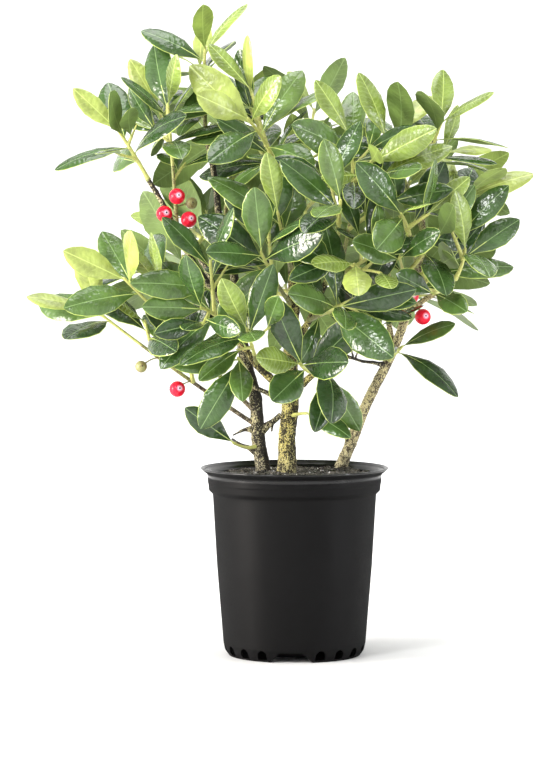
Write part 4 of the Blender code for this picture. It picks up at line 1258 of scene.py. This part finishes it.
# Name, colour, colour of the spots, roughness, level of the spots and, where they differ, grain, relief, shine
BERRY_SKINS = (
    ("ripe berry", (0.74, 0.012, 0.036), (0.62, 0.006, 0.022), 0.2, 0.56, 300.0, 0.05, 0.25),
    ("unripe berry", (0.27, 0.27, 0.10), (0.20, 0.16, 0.06), 0.4, 0.5, 300.0, 0.05),
    ("berry tip", (0.03, 0.02, 0.03), (0.015, 0.01, 0.012), 0.6, 0.5),
    ("berry tip ring", (0.86, 0.60, 0.74), (0.8, 0.5, 0.62), 0.5, 0.5),
    ("berry stalk", (0.30, 0.32, 0.10), (0.15, 0.11, 0.05), 0.6, 0.5),
    ("berry tip halo", (0.84, 0.20, 0.30), (0.8, 0.14, 0.22), 0.4, 0.5),
)
RIPE, UNRIPE, DOT, RING, STALK, HALO = range(len(BERRY_SKINS))
BERRY_SIDES = 28


def make_berries(shoots):
    """Berries on their stalks, each a ball dimpled at its dry tip, a dot in a pale ring and a halo."""
    piece = Piece("berries", *[skin_material(*row) for row in BERRY_SKINS])
    for number, berry in enumerate(BERRIES):
        centre = np.array(berry.centre, float)
        radius = BERRY_RADIUS if berry.ripe else UNRIPE_RADIUS
        pole = unit(np.array((0.28 + 0.05 * (number % 3), -1.0, 0.18)))
        tilt = np.concatenate([(0.12, 0.26, 0.42), np.linspace(0.55, math.pi - 0.15, 17)])
        shell = radius * (1 - 0.012 * hump(tilt, 0.16) - 0.03 * hump(math.pi - tilt, 0.3))
        centres = centre + (shell * np.cos(tilt))[::-1, None] * pole
        points, faces = round_skin(centres, (shell * np.sin(tilt))[::-1], BERRY_SIDES)
        skin, near, about = (RIPE, RING, HALO) if berry.ripe else (UNRIPE, UNRIPE, UNRIPE)
        rings = [skin] * (len(tilt) - 3) + [about, near, skin, DOT]
        piece.add(points, faces, [kind for kind in rings for _ in range(BERRY_SIDES)])
        foot, _, _ = place_on(shoots[berry.spray][0], berry.share)
        path = bowed(foot, centre, 0.25, 1.2)
        path = path[np.linalg.norm(path - centre, axis=1) > radius * 0.8]
        s = np.linspace(0, 1, len(path))
        thick = STALK_RADIUS * (0.8 + 0.5 * hump(s, 0.15) + 0.6 * hump(1 - s, 0.12))
        piece.add(*round_skin(path, thick, 8), STALK)
    piece.make("foliage", crease=60.0)


# Bark


# Limb, share of its length, bearing and size of each knot
KNOTS = (
    ("stem_middle", 0.36, 250, 3.4), ("stem_middle", 0.62, 60, 3.0), ("stem_middle", 0.8, 300, 2.6),
    ("stem_left", 0.3, 200, 2.6), ("stem_left", 0.52, 330, 2.4), ("stem_left", 0.78, 160, 2.2),
    ("stem_right", 0.28, 240, 2.0), ("stem_right", 0.62, 80, 2.0), ("stem_right", 0.8, 250, 2.0),
)


# Rings where leaves once sat: how high, how wide and how far apart along the limb
SCAR_HEIGHT, SCAR_WIDTH = 0.35, 1.5
FIRST_SCAR, SCAR_STEPS = (8, 16), (11, 24)

# Knots: how high, how deep their middle is and how wide that is
KNOT_HEIGHT, KNOT_HOLLOW, HOLLOW_WIDTH = 1.5, 0.8, 0.42

# How high lumps are and how close together: broad ones and small ones
LUMPS = ((0.05, 0.16), (0.03, 0.9))

# Name, ground, specks, their level and how much they crowd as painted shade on the shaded side, by a limb's
# stem
BARKS = {
    "stem_left": ("dark speckled bark", (0.27, 0.24, 0.115), (0.018, 0.015, 0.011), 0.475, 0.13),
    "stem_middle": ("olive speckled bark", (0.36, 0.31, 0.075), (0.022, 0.018, 0.009), 0.485, 0.06),
    "stem_right": ("pale speckled bark", (0.38, 0.33, 0.155), (0.055, 0.042, 0.026), 0.515, 0.04),
}


def limb_shape(number, limb, joint, path):
    """A limb's skin, with lumps, rings where leaves once sat, knots, and a collar or root flare at its foot."""
    sides = BOUGH_SIDES if joint else STEM_SIDES
    s = lengths_of(path)[:, None]
    turn = np.arange(sides) * 2 * math.pi / sides
    (broad, broad_pace), (small, small_pace) = LUMPS
    lumps = 1 + broad * waves(number, s, turn, broad_pace) + small * waves(number + 50, s, turn, small_pace)
    radii = path.radii[:, None] * lumps
    rng = random.Random(number + 7)
    scar = rng.uniform(*FIRST_SCAR)
    while scar < s[-1, 0]:
        lean = 1 + 0.5 * np.cos(turn - rng.uniform(0, 6))
        radii = radii + SCAR_HEIGHT * lean * hump(s - scar, SCAR_WIDTH)
        scar += rng.uniform(*SCAR_STEPS)
    for name, share, bearing, size in KNOTS:
        if name == limb.name:
            off = (turn - math.radians(bearing) + math.pi) % (2 * math.pi) - math.pi
            away = np.hypot(s - share * s[-1, 0], off * path.radii[:, None])
            radii = radii + KNOT_HEIGHT * (hump(away, size) - KNOT_HOLLOW * hump(away / size, HOLLOW_WIDTH))
    centres = path.points
    if joint:
        collar = joint.radius * (1.0 if joint.at_end else 0.8) - limb.foot_radius
        radii = radii + collar * hump(s, 1.6 * joint.radius)
    else:
        radii = radii * (1 + ROOT_FLARE * np.exp(-s / 7) * (1 + 0.3 * np.cos(turn * 3 + number)))
        centres = np.concatenate([centres[:1] - 5 * UP, centres])
        radii = np.concatenate([radii[:1], radii])
    points, faces = round_skin(centres, radii, sides)
    # painted shade: how much of it each point gets, rising toward the shaded side, kept as the UV's first value
    away = points - np.concatenate([np.repeat(centres, sides, axis=0), centres[:1], centres[-1:]])
    shade = np.clip(away @ PAINTED_SHADE_SIDE / (np.linalg.norm(away, axis=1) + 1e-6) * 1.6 - 0.2, 0, 1)
    return points, faces, 0, np.stack([shade, 0 * shade], -1)


def stem_of(limb):
    """The name of the stem that a limb comes from."""
    while limb.source != SOIL:
        limb = next(other for other in LIMBS if other.name == limb.source)
    return limb.name


def make_limbs(limbs, joints):
    """Stems and boughs, a piece each, and the bare twigs as one piece."""
    barks = {stem: bark_material(*row[:4], shaded=row[4]) for stem, row in BARKS.items()}
    limbs = dict(limbs)
    bare = Piece("bare_twigs", barks["stem_left"])
    for number, limb in enumerate(LIMBS + BARE_TWIGS):
        is_bare = limb in BARE_TWIGS
        joint = joint_on(limbs, limb.source, limb.share) if is_bare else joints[limb.name]
        path = limb_path(number, limb, joint, BARK_STEP)
        shape = limb_shape(number, limb, joint, path)
        if is_bare:
            limbs[limb.name] = path
            bare.add(*shape)
        else:
            piece = Piece("bark_" + limb.name, barks[stem_of(limb)])
            piece.add(*shape)
            piece.make("bark", limb.name, crease=60.0)
    bare.make("bark", crease=60.0)


# Pot and soil


def rounded(outline):
    """The outline with each inner corner replaced by a short arc: the curve between cuts on both sides."""
    corners = np.array(outline, float)
    found = [corners[:1]]
    t = np.linspace(0, 1, CORNER_STEPS + 1)[:, None]
    for before, corner, after in zip(corners, corners[1:], corners[2:]):
        cut = min(CORNER_CUT, np.linalg.norm(corner - before) * 0.45, np.linalg.norm(after - corner) * 0.45)
        start = corner + unit(before - corner) * cut
        end = corner + unit(after - corner) * cut
        found.append((1 - t) ** 2 * start + 2 * t * (1 - t) * corner + t**2 * end)
    found.append(corners[-1:])
    return np.concatenate(found)


def spun(r, z, sides):
    """Points at radii r and heights z, turned round Z, ring by ring."""
    turns = turns_of(sides)
    rings = np.stack([r[:, None] * np.cos(turns), r[:, None] * np.sin(turns), z[:, None] + 0 * turns], -1)
    return rings.reshape(-1, 3)


def lathe(name, outline, material=None):
    """An outline of (radius, height) that starts and ends on the axis, turned round Z as a grid."""
    outline = np.asarray(outline, float)
    ends = [(0, 0, outline[0][1]), (0, 0, outline[-1][1])]
    points = np.concatenate([spun(*outline[1:-1].T, POT_SIDES), ends])
    return plain_object(name, points, tube_faces(len(outline) - 2, POT_SIDES), material)


def plain_object(name, points, faces, material=None):
    mesh = bpy.data.meshes.new(name)
    mesh.from_pydata((np.asarray(points, float) * MM).tolist(), [], faces)
    if material:
        mesh.materials.append(material)
    made = bpy.data.objects.new(name, mesh)
    bpy.context.scene.collection.objects.link(made)
    return made


def cut(target, others):
    """target with the other objects cut out of it; they are then removed."""
    helpers = bpy.data.collections.new("helpers")
    for other in others:
        for owner in other.users_collection:
            owner.objects.unlink(other)
        helpers.objects.link(other)
    bpy.context.scene.collection.children.link(helpers)
    modifier = target.modifiers.new("cut", "BOOLEAN")
    modifier.operation = "DIFFERENCE"
    modifier.operand_type = "COLLECTION"
    modifier.collection = helpers
    modifier.solver = "EXACT"
    bpy.context.view_layer.update()
    result = bpy.data.meshes.new_from_object(target.evaluated_get(bpy.context.evaluated_depsgraph_get()))
    target.modifiers.clear()
    target.data = result
    for other in list(helpers.objects):
        bpy.data.objects.remove(other)
    bpy.data.collections.remove(helpers)


def turned(corners, degrees):
    """Corners turned round Z; 0 faces the front, -Y."""
    cos, sin = math.cos(math.radians(degrees)), math.sin(math.radians(degrees))
    x, y, z = np.array(corners, float).T
    return np.stack([x * cos - y * sin, x * sin + y * cos, z], 1)


def prism(section, near, far, bearing):
    """A block whose section (across, height) runs straight out from radius near to far, at a bearing."""
    count = len(section)
    corners = [(x, -r, z) for r in (near, far) for x, z in section]
    faces = [tuple(range(count - 1, -1, -1)), tuple(range(count, 2 * count))]
    faces += [(k, (k + 1) % count, (k + 1) % count + count, k + count) for k in range(count)]
    return plain_object("block", turned(corners, bearing), faces)


def notch_blocks(grow):
    """Wedges under the pot's edge where its base is raised between the feet, grown by some millimetres."""
    foot, top = NOTCH_FOOT_WIDTH / 2 + grow, NOTCH_TOP_WIDTH / 2 + grow
    low, high = -CUT_BELOW, NOTCH_HEIGHT + grow
    deep = foot + (foot - top) * CUT_BELOW / NOTCH_HEIGHT
    section = ((-deep, low), (deep, low), (top, high), (-top, high))
    bearings = [NOTCH_BEARING + 360 * k / NOTCHES for k in range(NOTCHES)]
    return [prism(section, NOTCH_INNER_RADIUS - grow, CUT_RADIUS, bearing) for bearing in bearings]


def drain_blocks():
    """Upright slots with arched tops through the foot of the wall, in rows between the notches."""
    half = DRAIN_WIDTH / 2
    arch = [math.pi * k / 8 for k in range(9)]
    section = [(-half, DRAIN_FOOT), (half, DRAIN_FOOT)]
    section += [(half * math.cos(a), DRAIN_TOP - half + half * math.sin(a)) for a in arch]
    blocks = []
    for k in range(NOTCHES):
        for d in range(DRAINS_BETWEEN_NOTCHES):
            offset = DRAIN_SPACING * (d - (DRAINS_BETWEEN_NOTCHES - 1) / 2)
            bearing = NOTCH_BEARING + 360 * (k + 0.5) / NOTCHES + offset
            blocks.append(prism(section, DRAIN_INNER_RADIUS, CUT_RADIUS, bearing))
    return blocks


def make_pot():
    """The pot, a thin wall with a rolled lip, a stepped collar, raised notches and drain slots."""
    rim, top = POT_OUTSIDE[-1]
    outside = [(0.0, 0.0), *rounded(POT_OUTSIDE), (0.0, top)]
    pot = lathe("nursery_pot", outside, pot_material())
    cut(pot, notch_blocks(0.0))
    above = ((rim, top), (rim, top + 1.0), (0.0, top + 1.0))
    cavity = lathe("cavity", [(0.0, POT_INSIDE[-1][1]), *rounded(POT_INSIDE[::-1]), *above])
    cut(cavity, notch_blocks(POT_WALL))
    cut(pot, [cavity])
    cut(pot, drain_blocks())
    pot.data.polygons.foreach_set("use_smooth", np.ones(len(pot.data.polygons), bool))
    pot.data.set_sharp_from_angle(angle=math.radians(40))
    fitted_out(pot, "pot_plastic", "pot")


def soil_height(x, y):
    """Height of the soil above its level: slow and quick sines, and a low mound round each stem."""
    height = 0.9 * np.sin(x / 9 + 1.3) * np.sin(y / 7 + 0.4) + 0.5 * np.sin(x / 2.9 + y / 3.7)
    height += 0.4 * np.sin(x / 1.3 - y / 1.9 + 2.0) * np.sin(y / 1.1)
    for limb in LIMBS[:3]:
        height += 2.2 * np.exp(-(((x - limb.foot[0]) ** 2 + (y - limb.foot[1]) ** 2) / 14**2))
    return height - EDGE_DIP * (np.hypot(x, y) / SOIL_EDGE) ** 10


def make_soil():
    """Potting mix: an uneven round top, closed below, strewn with bark chips and white grains."""
    mix = bark_material("potting mix", (0.010, 0.009, 0.008), (0.003, 0.003, 0.003), 0.49, 0.95, shine=0.1)
    chip = bark_material("bark chips", (0.022, 0.017, 0.013), (0.008, 0.006, 0.005), 0.5, 0.85, shine=0.2)
    white = skin_material("white grains", (0.72, 0.71, 0.68), (0.5, 0.48, 0.44), 0.85, 0.55)
    piece = Piece("soil_surface", mix, chip, white)
    turns = turns_of(SOIL_SIDES)
    r = SOIL_EDGE * np.sqrt(np.linspace(0.002, 1, SOIL_RINGS))[:, None]
    x, y = r * np.cos(turns), r * np.sin(turns)
    top = np.stack([x, y, SOIL_TOP + soil_height(x, y)], -1)
    skirt = top[-1] * (0.985, 0.985, 1) - SOIL_DEPTH * UP
    rings = np.concatenate([top, skirt[None]])
    middle = [(0, 0, top[0, :, 2].mean()), (0, 0, SOIL_TOP - SOIL_DEPTH)]
    points = np.concatenate([rings.reshape(-1, 3), middle])
    piece.add(points, [face[::-1] for face in tube_faces(len(rings), SOIL_SIDES)])
    rng = random.Random(4)
    for number in range(CHIPS + WHITE_GRAINS):
        reach, turn = SOIL_EDGE * 0.97 * math.sqrt(rng.random()), rng.uniform(0, 2 * math.pi)
        x, y = reach * math.cos(turn), reach * math.sin(turn)
        grain = number >= CHIPS
        sizes = [rng.uniform(*span) for span in (GRAIN_SIZES if grain else CHIP_SIZES)]
        corners, sides = ball(np.zeros(3), 1.0, 2, 5)
        corners = corners * sizes * np.array([[rng.uniform(0.75, 1.2)] for _ in corners])
        tilt, spin = rng.uniform(-0.5, 0.5), rng.uniform(0, 360)
        corners = corners + UP * corners[:, :1] * tilt
        corners = turned(corners, spin) + (x, y, SOIL_TOP + float(soil_height(x, y)) + 0.3)
        piece.add(corners, sides, 2 if grain else 1)
    piece.make("potting_soil", "soil", crease=40.0)


# Studio


# Name, place, target, width, height, power and, where it isn't white, colour
LAMPS = (
    ("key", (-1.2, -1.7, 1.6), (0.0, 0.0, 0.35), 0.6, 0.6, 32.0),
    ("left_strip", (-1.90, -0.62, 0.45), (0.0, 0.0, 0.12), 0.7, 0.9, 66.0, (1.0, 0.93, 0.87)),
    ("right_strip", (1.84, -0.78, 0.45), (0.0, 0.0, 0.12), 0.12, 0.9, 15.0, (0.95, 0.95, 1.0)),
    ("top", (0.0, 0.1, 2.1), (0.0, 0.0, 0.3), 1.4, 1.4, 36.0),
)


def make_studio():
    """The lamps and a pale round floor that sweeps up into a wall by a quarter circle, open above."""
    bend = np.linspace(0, math.pi / 2, 17)
    flat, wall = (1.0, 800.0, 2500.0), FLOOR_RADIUS + ROOM_BEND
    r = np.concatenate([flat, FLOOR_RADIUS + ROOM_BEND * np.sin(bend), [wall]])
    z = np.concatenate([(0.0, 0.0, 0.0), ROOM_BEND * (1 - np.cos(bend)), [ROOM_HEIGHT]])
    faces = [face[::-1] for face in grid_faces(len(r), ROOM_SIDES, closed=True)] + [tuple(range(ROOM_SIDES))]
    room = plain_object("round_floor", spun(r, z, ROOM_SIDES), faces, floor_material())
    room.data.polygons.foreach_set("use_smooth", np.ones(len(faces), bool))
    world = bpy.data.worlds.new("soft white room")
    bpy.context.scene.world = world
    world.use_nodes = True
    light = world.node_tree.nodes["Background"].inputs
    put(light["Color"], (1.0, 1.0, 1.0))
    put(light["Strength"], ROOM_LIGHT)
    for row in LAMPS:
        lamp(*row)
    for k in range(WALL_LAMPS):
        x, y = math.sin(2 * math.pi * k / WALL_LAMPS), math.cos(2 * math.pi * k / WALL_LAMPS)
        lamp(f"wall_{k + 1}", (0.9 * x, 0.9 * y, 3.6), (6.5 * x, 6.5 * y, 2.4), 1.4, 1.0, 150.0)


def lamp(name, place, target, width, height, power, colour=(1.0, 1.0, 1.0)):
    light = bpy.data.lights.new(name, "AREA")
    light.color = colour
    light.shape = "RECTANGLE"
    light.size, light.size_y, light.energy = width, height, power
    made = bpy.data.objects.new(name, light)
    made.location = place
    made.rotation_euler = (Vector(target) - Vector(place)).to_track_quat("-Z", "Y").to_euler()
    bpy.context.scene.collection.objects.link(made)


def make_camera():
    lens = bpy.data.cameras.new("camera")
    lens.lens = CAMERA_LENS
    lens.sensor_width = CAMERA_SENSOR
    lens.clip_end = 50.0
    made = bpy.data.objects.new("camera", lens)
    made.location = CAMERA_PLACE
    made.rotation_euler = (math.radians(90 - CAMERA_TILT), 0.0, 0.0)
    bpy.context.scene.collection.objects.link(made)
    bpy.context.scene.camera = made
    bpy.context.scene.view_settings.view_transform = "Standard"


def main():
    make_camera()
    make_studio()
    make_pot()
    make_soil()
    limbs, joints = grow_limbs()
    make_limbs(limbs, joints)
    shoots, wood = grow_shoots(limbs)
    leaves = grow_leaves(limbs, shoots, wood)
    make_twigs(limbs, shoots, leaves)
    make_leaves(leaves)
    make_berries(shoots)


main()
